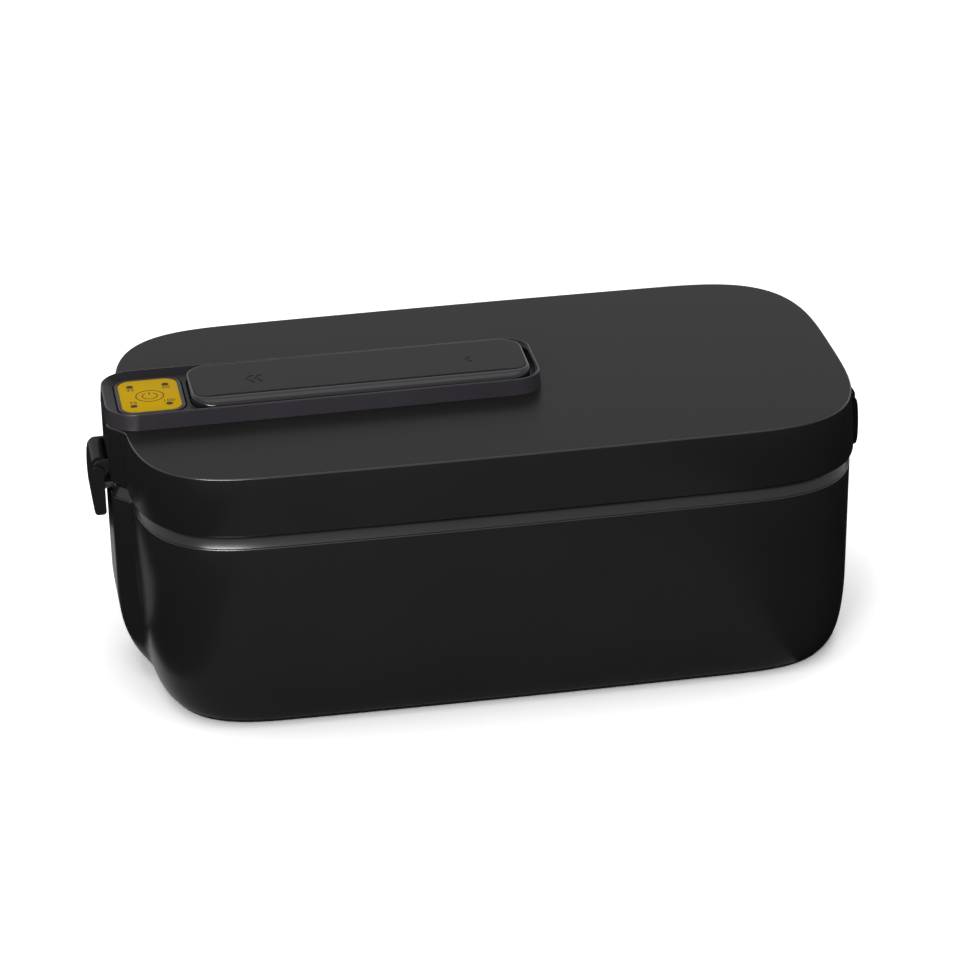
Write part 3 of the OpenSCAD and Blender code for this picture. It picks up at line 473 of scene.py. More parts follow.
MATERIALS = {
    "shell_black": plastic("shell black", (0.0158, 0.0158, 0.016), 0.29, specular=0.04, grain=0.3, bump=0.1),
    "shell_edge": plastic("shell edge", SHELL_BLACK, 0.24, specular=0.36, grain=0.3, bump=0.03),
    "band_black": plastic("band black", (0.0205, 0.0205, 0.021), 0.24, specular=0.3, grain=0.4, bump=0.04),
    "cradle_gloss": plastic("cradle black", (0.044, 0.0402, 0.0482), 0.24,
                            specular=0.16, grain=0.8, bump=0.03, drift=0.1),
    # painted shade: a darker copy of the rim's colour for its upward faces, standing in for the dark
    # reflections in them
    "cradle_painted_shade": plastic("cradle painted shade", (0.02, 0.0184, 0.0218), 0.32,
                          specular=0.05, grain=0.8, bump=0.03, drift=0.1),
    "pack_black": plastic("pack black", SHELL_BLACK, 0.38, specular=0.055, grain=0.3, bump=0.1),
    "pack_gloss": plastic("pack gloss", (0.022, 0.0208, 0.024), 0.2, specular=0.25, grain=0.6, bump=0.04),
    "latch_black": plastic("latch black", (0.0125, 0.0125, 0.013), 0.36, specular=0.04, grain=0.5, bump=0.05),
    "cap_grey": plastic("cap grey", (0.02, 0.02, 0.021), 0.35, specular=0.2, grain=0.4, bump=0.06),
    "label_yellow": plastic("label yellow", (0.70, 0.43, 0.004), 0.42,
                            specular=0.02, grain=0.6, bump=0.05, drift=0.03),
    "window_smoke": plastic("window smoke", (0.02, 0.012, 0.004), 0.2, specular=0.1, grain=0.8, bump=0.02),
    "liner_grey": plastic("liner grey", (0.05, 0.05, 0.052), 0.4, grain=0.4, bump=0.08),
    "steel_container": metal("container steel", (0.58, 0.58, 0.59), 0.34,
                             grain=0.25, stretch=(0.04, 0.04, 1)),
    "plate_aluminium": metal("plate aluminium", (0.78, 0.79, 0.8), 0.35, grain=0.3, stretch=(0.05, 1, 1)),
    "film_amber": plastic("film amber", (0.42, 0.14, 0.03), 0.25, grain=1.2, bump=0.05),
    "feet_rubber": plastic("foot rubber", (0.03, 0.03, 0.03), 0.85, specular=0.2, grain=0.5, bump=0.25),
    "seal_silicone": plastic("seal silicone", (0.2, 0.2, 0.205), 0.6, specular=0.3, grain=0.5, bump=0.1),
    "fastener_steel": metal("fastener steel", (0.55, 0.56, 0.58), 0.3, grain=0.15),
    "contact_gold": metal("contact gold", (0.83, 0.6, 0.2), 0.22, grain=0.2),
    "board_green": plastic("board green", (0.012, 0.08, 0.03), 0.3, grain=0.6, bump=0.1, drift=0.15),
    "part_black": plastic("part black", (0.02, 0.02, 0.02), 0.5, grain=0.4),
    "wire_red": plastic("wire red", (0.38, 0.02, 0.015), 0.45, grain=0.6),
    "cell_foil": metal("cell foil", (0.62, 0.64, 0.67), 0.38, grain=0.6, bump=0.2),
    "socket_steel": metal("socket steel", (0.6, 0.6, 0.62), 0.25, grain=0.15),
    "fuse_white": plastic("fuse ceramic", (0.72, 0.72, 0.68), 0.5, grain=0.4),
    "led_white": plastic("diode epoxy", (0.8, 0.8, 0.72), 0.15, grain=1.0, bump=0.03),
    "plunger_white": plastic("plunger white", (0.7, 0.7, 0.7), 0.4, grain=0.5),
    "print_brown": plastic("panel print", (0.09, 0.045, 0.006), 0.45, specular=0.05, grain=0.5, bump=0.04),
}


def dress_cad_nodes():
    """Each CAD node gets the material of its record slot, also those that pieces replace later."""
    for entry in frame["record"]["subparts"]:
        node = frame["nodes"][entry["node"]]
        node.data.materials.clear()
        node.data.materials.append(MATERIALS[entry["material_slot"]])


# ---------- base ----------

def foot_inset(z, height, width, power):
    """How far a foot of this height and width draws in at z."""
    if z >= height:
        return 0.0
    return width * (1 - max(0.0, 1 - ((height - z) / height) ** power) ** (1 / power))


def base_inset(z):
    drafted = BASE_SETBACK + BASE_DRAFT * (BASE_H - z) / BASE_H
    return drafted + foot_inset(z, FOOT_ROUND_H, FOOT_ROUND_W, FOOT_POWER)


def duct_reach(z):
    """How far out the duct's face is; it never draws in behind the end of the body."""
    drawn_in = foot_inset(z, DUCT_FOOT_H, DUCT_FOOT_W, DUCT_FOOT_POWER)
    return max(DUCT_FACE - drawn_in, HALF_L - base_inset(z) + 0.1)


def base_ring(z, inward=0.0):
    return ring(z, base_inset(z) + inward, duct_reach(z) - inward)


def underside_ring(z, inward):
    """Ring at z that follows the outline at the undercut's height."""
    return ring(z, base_inset(UNDERCUT_Z) + inward, duct_reach(UNDERCUT_Z) - inward)


def build_base_shell():
    black = MATERIALS["shell_black"]
    rise = [math.sin(math.radians(90 * (1 - i / FOOT_STEPS))) for i in range(FOOT_STEPS + 1)]
    levels = [FOOT_ROUND_H * (1 - s ** (2 / FOOT_POWER)) for s in rise]
    levels = ([UNDERCUT_Z + UNDERCUT_EDGE] + [z for z in levels if z > UNDERCUT_Z + 2 * UNDERCUT_EDGE]
              + [DUCT_FOOT_H, BASE_MID])
    outer = [
        underside_ring(PAD_PROUD, UNDERCUT_D + UNDERSIDE_RING), underside_ring(PAD_PROUD, UNDERCUT_D),
        underside_ring(UNDERCUT_Z, UNDERCUT_D), underside_ring(UNDERCUT_Z, UNDERCUT_EDGE),
    ]
    outer += [base_ring(z) for z in levels]
    outer += [base_ring(BASE_H - BASE_LIP_R * b, BASE_LIP_R * a) for a, b in quarter()]
    inner = [base_ring(BASE_H, BASE_WALL - 0.2), base_ring(BASE_H - 0.2, BASE_WALL)]
    inner += [base_ring(z, BASE_WALL) for z in (BASE_MID, DUCT_FOOT_H) + INNER_LEVELS]
    inner += [base_ring(BASE_FLOOR_TOP + BASE_CORNER_R * b, BASE_WALL + BASE_CORNER_R * a)
              for a, b in quarter()]
    shell = loft("base_shell_skin", outer + inner, black)
    recesses = []
    low, high = box_mm("foot_pads")
    for x in (low.x + PAD_R, high.x - PAD_R):
        for y in (low.y + PAD_R, high.y - PAD_R):
            cutter = plate("recess", disc(x, PAD_R + PAD_GAP), -PAST, high.z, black)
            move_y(cutter, y)
            recesses.append(cutter)
    combine(shell, recesses, "DIFFERENCE")
    finish_or_shade_faces(shell, MATERIALS["shell_edge"], BASE_H - BASE_LIP_R, BASE_H)
    settle(shell, "base", "shell_black", "base_shell")


def build_rim_collar():
    black = MATERIALS["band_black"]
    tub_flange_z = box_mm("inner_tub")[1].z - TUB_FLANGE_T
    shelf_z = tub_flange_z - SHELF_T
    spigot_z = BASE_H - SPIGOT_H
    spigot_inset = BASE_SETBACK + BASE_WALL + SPIGOT_GAP
    band_top = LID_BOTTOM - SHADOW_GAP_H
    neck = BAND_HEAD + SHADOW_GAP_D
    e = COLLAR_EDGE
    rings = [
        duct_ring(BASE_H, BAND_FOOT), duct_ring(band_top - e, BAND_HEAD), duct_ring(band_top, BAND_HEAD + e),
        duct_ring(band_top, neck), duct_ring(COLLAR_TOP - e, neck), duct_ring(COLLAR_TOP, neck + e),
        ring(COLLAR_TOP, COLLAR_INNER - e), ring(COLLAR_TOP - e, COLLAR_INNER),
        ring(tub_flange_z, COLLAR_INNER), ring(tub_flange_z, SHELF_INNER),
        ring(shelf_z, SHELF_INNER), ring(shelf_z, COLLAR_INNER),
        ring(spigot_z, COLLAR_INNER), ring(spigot_z, spigot_inset), ring(BASE_H, spigot_inset),
    ]
    collar = loft("rim_collar_skin", rings, black, loop=True)
    low, high = box_mm("contact_block")
    pocket = plate("pocket", (low.x - BLOCK_GAP, high.x + BLOCK_GAP, high.y + BLOCK_GAP, 0.3, 0.3),
                   BASE_H - BLOCK_POCKET_H, COLLAR_TOP + PAST, black)
    combine(collar, [pocket], "DIFFERENCE")
    settle(collar, "base", "band_black", "rim_collar")
    low, high = box_mm("rim_collar")
    for side, tip in (("right", high.x), ("left", low.x)):
        x0, x1 = sorted((tip, RIB_ROOTS[side]))
        rib = plate(f"catch_rib_{side}", (x0, x1, RIB_HALF, 0.5, 0.5),
                    BASE_H + RIB_LOW, BASE_H + RIB_HIGH, black, edge=0.3)
        settle(rib, "base", "band_black")


def build_inner_tub():
    top = box_mm("inner_tub")[1].z
    flange = top - TUB_FLANGE_T
    floor_top, opening, r = TUB_FLOOR_TOP, TUB_INNER + TUB_LEDGE, TUB_ROUND
    rings = [
        ring(flange, FLANGE_OUTER), ring(top, FLANGE_OUTER),
        ring(top, TUB_INNER + r), ring(top - r, TUB_INNER), ring(floor_top + 2, TUB_INNER),
        ring(floor_top + r, TUB_INNER + r), ring(floor_top, TUB_INNER + 2),
        ring(floor_top, opening), ring(TUB_FLOOR_LOW, opening), ring(TUB_FLOOR_LOW, TUB_OUTER),
        ring(flange, TUB_OUTER),
    ]
    tub = loft("inner_tub_skin", rings, MATERIALS["liner_grey"], loop=True)
    settle(tub, "base", "liner_grey", "inner_tub")


# ---------- food container ----------

def build_food_container():
    low, high = box_mm("food_container")
    top, floor = high.z, low.z
    under, r = top - STEEL_T, CONTAINER_LIP_R

    def inset(z):
        return CONTAINER_OUTER + CONTAINER_LEAN * (top - z) / (top - floor)

    def skin(z0, inward):
        """Rings of one skin from the floor's edge up round the foot."""
        heights = [(z0 + CONTAINER_FOOT_R * a, CONTAINER_FOOT_R * b) for a, b in quarter(8)]
        return [ring(z, inset(z) + inward + foot) for z, foot in heights]

    outside = skin(floor, 0) + [ring(under, inset(top))]
    flange = [ring(under, FLANGE_OUTER + 0.2), ring(top - STEEL_T / 2, FLANGE_OUTER),
              ring(top, FLANGE_OUTER + 0.2)]
    turn = [ring(top, inset(top) + STEEL_T - r), ring(top - 0.3, inset(top) + STEEL_T - 0.3),
            ring(top - r, inset(top) + STEEL_T)]
    inside = list(reversed(skin(floor + STEEL_T, STEEL_T)))
    container = loft("food_container_skin", outside + flange + turn + inside, MATERIALS["steel_container"])
    settle(container, "container", "steel_container", "food_container")


# ---------- lid ----------

def build_lid_cover():
    black = MATERIALS["shell_black"]
    panel_top = box_mm("lid_inner_panel")[1].z
    roof_z = LID_TOP - LID_ROOF
    inner = [
        duct_ring(roof_z, LID_WALL), duct_ring(panel_top, LID_WALL),
        duct_ring(panel_top, LID_REBATE), duct_ring(LID_BOTTOM, LID_REBATE),
    ]
    outer = [
        ring(LID_BOTTOM, LID_LIP - LID_DRAFT, DUCT_FACE - LID_LIP),
        ring(LID_BOTTOM + 0.1, LID_LIP * 0.3 - LID_DRAFT, DUCT_FACE - LID_LIP * 0.3),
        ring(LID_BOTTOM + LID_LIP, -LID_DRAFT, DUCT_FACE),
    ]
    outer += [duct_ring(LID_TOP - LID_EDGE_R * b, LID_EDGE_R * a) for a, b in quarter(6)]
    outer.append(duct_ring(LID_TOP, LID_EDGE_R + 0.6))
    cover = loft("lid_cover_skin", inner + outer, black)
    around = POCKET_GAP + BAY_WALL + 0.2
    pack_bay = (PACK_LOW.x - around, PACK_HIGH.x + around, PACK_HIGH.y + around, PACK_BAY_R, PACK_BAY_R)
    button_bay = (CAP_LOW.x - around, CAP_HIGH.x + BUTTON_BAY_OVERLAP, CAP_HIGH.y + around,
                  BUTTON_BAY_R, BUTTON_BAY_R)
    bays = [plate("bay", shape, roof_z - PAST, LID_TOP + PAST, black) for shape in (pack_bay, button_bay)]
    combine(cover, bays, "DIFFERENCE")
    finish_or_shade_faces(cover, MATERIALS["shell_edge"], LID_TOP - LID_EDGE_R, LID_TOP)
    settle(cover, "lid", "shell_black", "lid_cover")


def build_inner_panel():
    low, high = box_mm("lid_inner_panel")
    edge = LID_REBATE + 0.2
    rings = [
        ring(high.z, PANEL_OPENING), duct_ring(high.z, edge), duct_ring(low.z, edge),
        ring(low.z, GROOVE_OUT), ring(low.z + GROOVE_H, GROOVE_OUT),
        ring(low.z + GROOVE_H, GROOVE_IN), ring(low.z, GROOVE_IN),
        ring(low.z, GROOVE_IN + PANEL_LAND), ring(low.z + 0.5, GROOVE_IN + PANEL_LAND + 0.4),
        ring(low.z + 0.5, PANEL_OPENING),
    ]
    panel = loft("lid_inner_panel_skin", list(reversed(rings)), MATERIALS["liner_grey"])
    settle(panel, "lid", "liner_grey", "lid_inner_panel")


def build_seal():
    low, high = box_mm("lid_seal")
    back, shoulder = high.z - SEAL_BACK, low.z + 0.3
    rings = [
        ring(high.z, SEAL_OUT), ring(high.z, SEAL_IN), ring(back, SEAL_IN), ring(shoulder, SEAL_IN - 1),
        ring(low.z, SEAL_IN - SEAL_LIP), ring(low.z, SEAL_OUT + SEAL_LIP),
        ring(shoulder, SEAL_OUT + 1), ring(back, SEAL_OUT),
    ]
    seal = loft("lid_seal_skin", list(reversed(rings)), MATERIALS["seal_silicone"], loop=True)
    settle(seal, "lid", "seal_silicone", "lid_seal")


# ---------- cradle, pack and button ----------

def rim_ring(inset, z):
    """Ring of the cradle's rim, which is a little narrower at its right end."""
    low_x, high_x = CRADLE_LOW.x, CRADLE_HIGH.x
    half_w = PACK_HIGH.y + POCKET_GAP + RIM_SIDE_W
    points = rounded(low_x + inset, high_x - inset, half_w - inset, RIM_LEFT_R - inset, RIM_RIGHT_R - inset)
    return [(x, y * (1 - RIM_TAPER * (x - low_x) / (high_x - low_x)), z) for x, y in points]


def build_cradle():
    gloss = MATERIALS["cradle_gloss"]
    foot_z, top = CRADLE_LOW.z, CRADLE_HIGH.z
    rings = [rim_ring(0, LID_TOP - RIM_FOOT), rim_ring(0, LID_TOP)]
    rings += [rim_ring(RIM_DRAFT + CREST_R * a, top - CREST_R * b) for a, b in quarter()]
    rim = loft("battery_cradle_skin", rings, gloss)

    pack_x0, pack_x1, pack_hw = PACK_LOW.x - POCKET_GAP, PACK_HIGH.x + POCKET_GAP, PACK_HIGH.y + POCKET_GAP
    cap_x0, cap_x1, cap_hw = CAP_LOW.x - POCKET_GAP, CAP_HIGH.x + POCKET_GAP, CAP_HIGH.y + POCKET_GAP
    button_floor = LID_TOP - BUTTON_WELL
    pack_bay_r, cap_bay_r = PACK_CORNER + BAY_WALL, CAP_CORNER + BAY_WALL
    pack_bay = (pack_x0 - BAY_WALL, pack_x1 + BAY_WALL, pack_hw + BAY_WALL, pack_bay_r, pack_bay_r)
    cap_bay = (cap_x0 - BAY_WALL, cap_x1 + BAY_WALL / 2, cap_hw + BAY_WALL, cap_bay_r, cap_bay_r)
    combine(rim, [
        plate("bay", pack_bay, foot_z, LID_TOP + 1, gloss),
        plate("bay", cap_bay, button_floor - BAY_WALL, LID_TOP + 1.2, gloss),
    ], "UNION")

    lip = CAP_HIGH.z - LIP_BELOW_CAP
    crest = RIM_DRAFT + CREST_W
    dish = loft("dish", [
        at_z(rounded(cap_x0 - 0.2, pack_x1 + 0.2, pack_hw + 0.2, CAP_R + 0.6, PACK_R + 0.4), lip),
        rim_ring(crest, top), rim_ring(crest, top + PAST),
    ], gloss)
    pack_pocket = (pack_x0, pack_x1, pack_hw, PACK_CORNER, PACK_CORNER)
    cap_pocket = (cap_x0, cap_x1, cap_hw, CAP_CORNER, CAP_CORNER)
    finger_gap = (pack_x1 - 2 * PACK_R, pack_x1 + FINGER_GAP, pack_hw, PACK_R, PACK_R + FINGER_GAP)
    stem_hole = disc((cap_x0 + cap_x1) / 2, STEM_HOLE_R)
    combine(rim, [
        plate("pocket", pack_pocket, foot_z + BAY_WALL, top + PAST, gloss),
        plate("pocket", cap_pocket, button_floor, top + PAST, gloss),
        dish,
        plate("finger gap", finger_gap, LID_TOP + 0.6, top + PAST, gloss),
        plate("stem hole", stem_hole, button_floor - 5, button_floor + PAST, gloss),
    ], "DIFFERENCE")
    # Painted shade: the rim's upward faces, over the dish and the crest, take the darker copy of its colour.
    finish_or_shade_faces(rim, MATERIALS["cradle_painted_shade"], lip - 0.2, top - CREST_R, lean=(0.5, 1.1))
    soften(rim, 0.12)
    settle(rim, "lid", "cradle_gloss", "battery_cradle")


def pack_ring(degrees, inset=0.0, seam=0.0, drop=0.0):
    """Ring of the pack's top, that far up its edge: wide and low along the front, small elsewhere."""
    t = math.radians(degrees)
    x0, x1, hw = PACK_LOW.x, PACK_HIGH.x, PACK_HIGH.y
    middle, reach = (x0 + x1) / 2, (x1 - x0) / 2 - PACK_R
    points = []
    for x, y in rounded(x0, x1, hw, PACK_R, PACK_R):
        front = max(0.0, -y / hw) ** 3
        width = PACK_EDGE_R + (PACK_FRONT_W - PACK_EDGE_R) * front
        height = PACK_EDGE_R + (PACK_FRONT_H - PACK_EDGE_R) * front
        core = Vector((middle + max(-reach, min(reach, x - middle)), max(PACK_R - hw, min(hw - PACK_R, y))))
        out = (Vector((x, y)) - core).normalized()
        inward = width * (1 - math.cos(t)) + inset + seam * front
        z = PACK_HIGH.z - height * (1 - math.sin(t)) - drop
        points.append((x - inward * out.x, y - inward * out.y, z))
    return points


def chevron(x, half_l, half_w, stroke):
    """Cutter for a shallow generic arrow mark in the pack's top, pointing towards -X."""
    back = x + half_l
    corners = [(x - half_l, 0), (back - stroke, -half_w), (back, -half_w),
               (x - half_l + stroke, 0), (back, half_w), (back - stroke, half_w)]
    rings = [at_z(corners, PACK_HIGH.z - MARK_DEPTH), at_z(corners, PACK_HIGH.z + PAST)]
    return loft("mark", rings, MATERIALS["pack_black"])


def build_pack():
    foot = at_z(rounded(PACK_LOW.x, PACK_HIGH.x, PACK_HIGH.y, PACK_R, PACK_R), PACK_LOW.z)
    frame_rings = [foot] + [pack_ring(degrees) for degrees in range(0, 91, 9)]
    frame_rings.append(pack_ring(90, 0.02, drop=SEAM_H))
    cover = loft("pack_top_cover_skin", frame_rings, MATERIALS["pack_gloss"])
    settle(cover, "battery", "pack_black", "pack_top_cover")
    edge = ((0.04, SEAM_H), (0.04, 0.15), (0.08, 0.04), (0.2, 0.0), (1.0, 0.0))
    inlay_rings = [pack_ring(90, inset, SEAM_W, drop) for inset, drop in edge]
    inlay = loft("pack_top_inlay", inlay_rings, MATERIALS["pack_black"])
    marks = [chevron(PACK_LOW.x + offset, 1.6, 3.0, 1.3) for offset in LEFT_MARKS]
    marks.append(chevron(PACK_HIGH.x - RIGHT_MARK, 1.2, 2.2, 1.0))
    combine(inlay, marks, "DIFFERENCE")
    settle(inlay, "battery", "pack_black")


def build_button():
    grey = MATERIALS["cap_grey"]
    x0, x1, hw = CAP_LOW.x, CAP_HIGH.x, CAP_HIGH.y
    top = CAP_HIGH.z
    middle = (x0 + x1) / 2
    border, gap = SEAT_BORDER, SEAT_BORDER + LABEL_GAP
    cap = plate("button_cap_skin", (x0, x1, hw, CAP_R, CAP_R), LID_TOP - CAP_SKIRT, top, grey, edge=CAP_EDGE)
    seat_shape = (x0 + border, x1 - border, hw - border, SEAT_R, SEAT_R)
    combine(cap, [plate("seat", seat_shape, top - SEAT_DEPTH, top + PAST, grey)], "DIFFERENCE")
    combine(cap, [plate("stem", disc(middle, STEM_R), CAP_LOW.z + STEM_LIFT, LID_TOP, grey)], "UNION")
    settle(cap, "button", "cap_grey", "button_cap")
    label = plate("button_label_skin", (x0 + gap, x1 - gap, hw - gap, LABEL_R, LABEL_R),
                  top - SEAT_DEPTH, top, MATERIALS["label_yellow"], edge=0.1)
    settle(label, "button", "label_yellow", "button_label")
    build_label_print(middle, top)


# ---------- print on the label ----------

INK = 0.03                # thickness of the print
INK_LIFT = 0.005          # its underside above the label
STROKE = 0.36
SYMBOL_Y = -0.6           # middle of the power symbol
RING_R = 4.75
ARC_R = 2.6
ARC_GAP = 30              # half of the arc's opening, in degrees
BAR = (0.9, 3.3)          # the symbol's bar, from its middle outward
WINDOW_X = 6.1            # places of the indicator windows
WINDOW_Y = 8.4
WINDOW_RING_R = 1.12
WINDOW_STROKE = 0.26
FIGURE_SIZE = 2.9
FIGURE_OFFSET = 2.7       # figures lie this far inside their windows


def flat_arc(name, cx, cy, r, width, start, end, z, steps=64):
    """Printed arc: a thin flat band of ink."""
    points, faces = [], []
    count = steps if end - start >= 360 else steps + 1
    for i in range(count):
        t = math.radians(start + (end - start) * i / steps)
        for radius in (r - width / 2, r + width / 2):
            points.append((cx + radius * math.cos(t), cy + radius * math.sin(t), z))
    for i in range(steps):
        a, b = 2 * i, 2 * ((i + 1) % count)
        faces.append((a, a + 1, b + 1, b))
    return make_object(name, points, faces, MATERIALS["print_brown"])


def print_figure(text, x, y, z):
    curve = bpy.data.curves.new("figure", "FONT")
    curve.body = text
    curve.size = FIGURE_SIZE * MM
    curve.align_x = "CENTER"
    curve.align_y = "CENTER"
    maker = add_object("figure", curve)
    bpy.context.view_layer.update()
    mesh = bpy.data.meshes.new_from_object(maker.evaluated_get(bpy.context.evaluated_depsgraph_get()))
    bpy.data.objects.remove(maker)
    mesh.transform(Matrix.Translation((x * MM, y * MM, z * MM)))
    mesh.materials.clear()
    mesh.materials.append(MATERIALS["print_brown"])
    return add_object(f"print_figure_{text}", mesh)


def build_label_print(middle, z):
    """Power symbol in the middle, and the charge in per cent beside each indicator window."""
    z_ink = z + INK_LIFT
    x0, x1 = middle - STROKE / 2, middle + STROKE / 2
    y0, y1 = (SYMBOL_Y + end for end in BAR)
    prints = [
        flat_arc("print_ring", middle, SYMBOL_Y, RING_R, STROKE, 0, 360, z_ink),
        flat_arc("print_arc", middle, SYMBOL_Y, ARC_R, STROKE, 90 + ARC_GAP, 450 - ARC_GAP, z_ink),
        make_object("print_bar", at_z([(x0, y0), (x1, y0), (x1, y1), (x0, y1)], z_ink), [(0, 1, 2, 3)],
                    MATERIALS["print_brown"]),
    ]
    for text, sx, sy in (("25", -1, 1), ("50", 1, 1), ("75", -1, -1), ("100", 1, -1)):
        x, y = middle + sx * WINDOW_X, sy * WINDOW_Y
        prints.append(flat_arc(f"print_window_{text}", x, y, WINDOW_RING_R, WINDOW_STROKE,
                               0, 360, z_ink, steps=32))
        prints.append(print_figure(text, x, y - sy * FIGURE_OFFSET, z_ink))
    for piece in prints:
        solid = piece.modifiers.new("ink", "SOLIDIFY")
        solid.thickness = INK * MM
        solid.offset = 1
        settle(piece, "button", "label_yellow")


# ---------- latches ----------

PIN_OUT = 3.1             # distance of the hinge pin from the end wall
PIN_Z = (box_mm("latch_pins")[0].z + box_mm("latch_pins")[1].z) / 2
EAR_Y = 10.0
EAR_W = 1.8
EAR_R = 2.1
EAR_ROOT = 1.5            # how far the ears go into the lid
FIT_GAP = 0.3
LATCH_W = 24.0
LATCH_DROP = 17.5         # from the hinge pin down to the latch's lower edge
LATCH_T = 4.0
LATCH_INNER = PIN_OUT - 1.3
BARREL_R = 2.8
BARREL_HALF = EAR_Y - EAR_W / 2 - FIT_GAP
NECK_Z = -5.0             # foot of the barrel's neck, from the pin
TIP_R = 1.2               # rounding of the plate's lower edge
SWELL = 0.5               # of the plate's face
SWELL_STEPS = 16
PLATE_TOP = 0.6           # top of the plate above the pin
FLANK_W = 0.9             # width of the plate's flanks outside the ears, only in the looks
HOLLOW_WALL = 3.0         # walls left beside the hollow behind the plate
HOLLOW_DEPTH = 2.2
HOLLOW_LOW = 2.0
HOLLOW_HIGH = 0.4
HOOK_HALF = 7.5
HOOK = (1.2, LATCH_INNER + 2.4)     # tip and root of the hook, from the end wall
HOOK_TIP_H = 1.6
HOOK_ROOT_H = 3.4


def end_frame(side):
    """Matrix from a latch's own space (x out from the end wall, z up) to the row frame."""
    if side == "right":
        return Matrix.Translation(((HALF_L + LID_DRAFT) * MM, 0, 0))
    return Matrix.Translation((-DUCT_FACE * MM, 0, 0)) @ Matrix.Rotation(math.pi, 4, "Z")


def arc(cx, cz, r, start, end, steps=8):
    angles = [math.radians(start + (end - start) * i / steps) for i in range(steps + 1)]
    return [(cx + r * math.cos(a), cz + r * math.sin(a)) for a in angles]


def latch_plate_profile():
    """Side view of the latch's plate: x out from the end wall, z above the pin."""
    top_r = LATCH_T / 2
    skin = LATCH_INNER + LATCH_T
    low, high = TIP_R - LATCH_DROP, PLATE_TOP - top_r
    shares = [k / SWELL_STEPS for k in range(1, SWELL_STEPS)]
    face = [(skin + SWELL * math.sqrt(math.sin(math.pi * s)), low + (high - low) * s) for s in shares]
    return (arc(LATCH_INNER + TIP_R, low, TIP_R, 180, 270) + arc(skin - TIP_R, low, TIP_R, 270, 350)
            + face + arc(skin - top_r, high, top_r, 0, 180, 16))


def latch_barrel_profile():
    """Side view of the barrel round the pin, with its neck down to the plate."""
    neck = [(LATCH_INNER, NECK_Z), (LATCH_INNER + LATCH_T + 0.3, NECK_Z)]
    return neck + arc(PIN_OUT, 0, BARREL_R, 0, 215, 24)


def lifted(profile):
    return [(x, PIN_Z + z) for x, z in profile]


def build_latch(side):
    black = MATERIALS["latch_black"]
    half = LATCH_W / 2
    latch = extrude_profile(f"latch_{side}_skin", lifted(latch_plate_profile()), -half, half, black)
    barrel = extrude_profile("barrel", lifted(latch_barrel_profile()), -BARREL_HALF, BARREL_HALF, black)
    combine(latch, [barrel], "UNION")
    hollow = (-1, LATCH_INNER + HOLLOW_DEPTH, half - HOLLOW_WALL, 0.4, 0.4)
    cuts = [plate("hollow", hollow, PIN_Z - LATCH_DROP + HOLLOW_LOW, PIN_Z - BARREL_R - HOLLOW_HIGH, black)]
    slot_half = (half - FLANK_W - BARREL_HALF) / 2
    for s in (-1, 1):
        slot = plate("ear slot", (-2, 10, slot_half, 0.2, 0.2),
                     PIN_Z - EAR_R - FIT_GAP - 0.1, PIN_Z + 6, black)
        move_y(slot, s * (BARREL_HALF + slot_half))
        cuts.append(slot)
    combine(latch, cuts, "DIFFERENCE")
    tip, root = HOOK
    hook_profile = [(tip, BASE_H), (root, BASE_H), (root, BASE_H + HOOK_ROOT_H), (tip, BASE_H + HOOK_TIP_H)]
    combine(latch, [extrude_profile("hook", hook_profile, -HOOK_HALF, HOOK_HALF, black)], "UNION")
    latch.data.transform(end_frame(side))
    soften(latch, 0.35, segments=3, angle=35)
    settle(latch, f"latch_{side}", "latch_black", f"latch_{side}")


def build_ears(side):
    black = MATERIALS["shell_black"]
    profile = lifted([(-EAR_ROOT, -EAR_R)] + arc(PIN_OUT, 0, EAR_R, -90, 90, 15) + [(-EAR_ROOT, EAR_R)])
    for name, y in (("front", -EAR_Y), ("back", EAR_Y)):
        ear = extrude_profile(f"latch_ear_{side}_{name}", profile, y - EAR_W / 2, y + EAR_W / 2, black)
        ear.data.transform(end_frame(side))
        soften(ear, 0.2)
        settle(ear, "lid", "shell_black")


# ---------- camera, in metres and radians ----------

CAMERA_AT = Vector((-0.20359, -1.29651, 0.65427))
CAMERA_AZIMUTH = 0.155077     # how far the view is turned from +Y towards +X
CAMERA_FALL = 0.428154        # how far it looks down
CAMERA_ROLL = 0.0295484
CAMERA_LENS = 154.4


def build_camera():
    data = bpy.data.cameras.new("camera")
    data.lens = CAMERA_LENS
    data.sensor_width = 36
    data.clip_end = 20
    camera = add_object("camera", data)
    forward = Vector((math.sin(CAMERA_AZIMUTH) * math.cos(CAMERA_FALL),
                      math.cos(CAMERA_AZIMUTH) * math.cos(CAMERA_FALL), -math.sin(CAMERA_FALL)))
    level = forward.cross(Vector((0, 0, 1))).normalized()
    above = level.cross(forward)
    c, s = math.cos(CAMERA_ROLL), math.sin(CAMERA_ROLL)
    right = c * level - s * above
    up = s * level + c * above
    turn = Matrix((right, up, -forward)).transposed()
    camera.matrix_world = Matrix.Translation(CAMERA_AT) @ turn.to_4x4()
    bpy.context.scene.camera = camera


# ---------- studio, in metres ----------

WORLD_LIGHT = 0.4         # light from all round that falls on the object
FLOOR_LIGHT = 0.3         # share of the light that the floor throws back at the object
FLOOR_SEEN = 2.25         # the floor as seen and mirrored: white, save in the object's deep shadow
WHITE = (1, 1, 1, 1)
SEEN_RAYS = ("Is Camera Ray", "Is Glossy Ray", "Is Transmission Ray")
FLOOR_SIZE = 12

# name, place, what it points at, size and power
TOP_SOFTBOX = ("top softbox", (0.0, 0.1, 1.5), (0, 0, 0), (1.3, 1.0), 6.2)
FRONT_SOFTBOX = ("front left softbox", (-0.72, -1.4, 0.38), (0, 0, 0.06), (0.5, 0.35), 8)
SHEEN = ("front left sheen", (-0.70, -1.33, 0.45), (0, 0, 0.06), (0.85, 0.4), 48)

CARD_Z = 0.00005
CARD_SHADES = {"black": 0.005, "grey": 0.75}
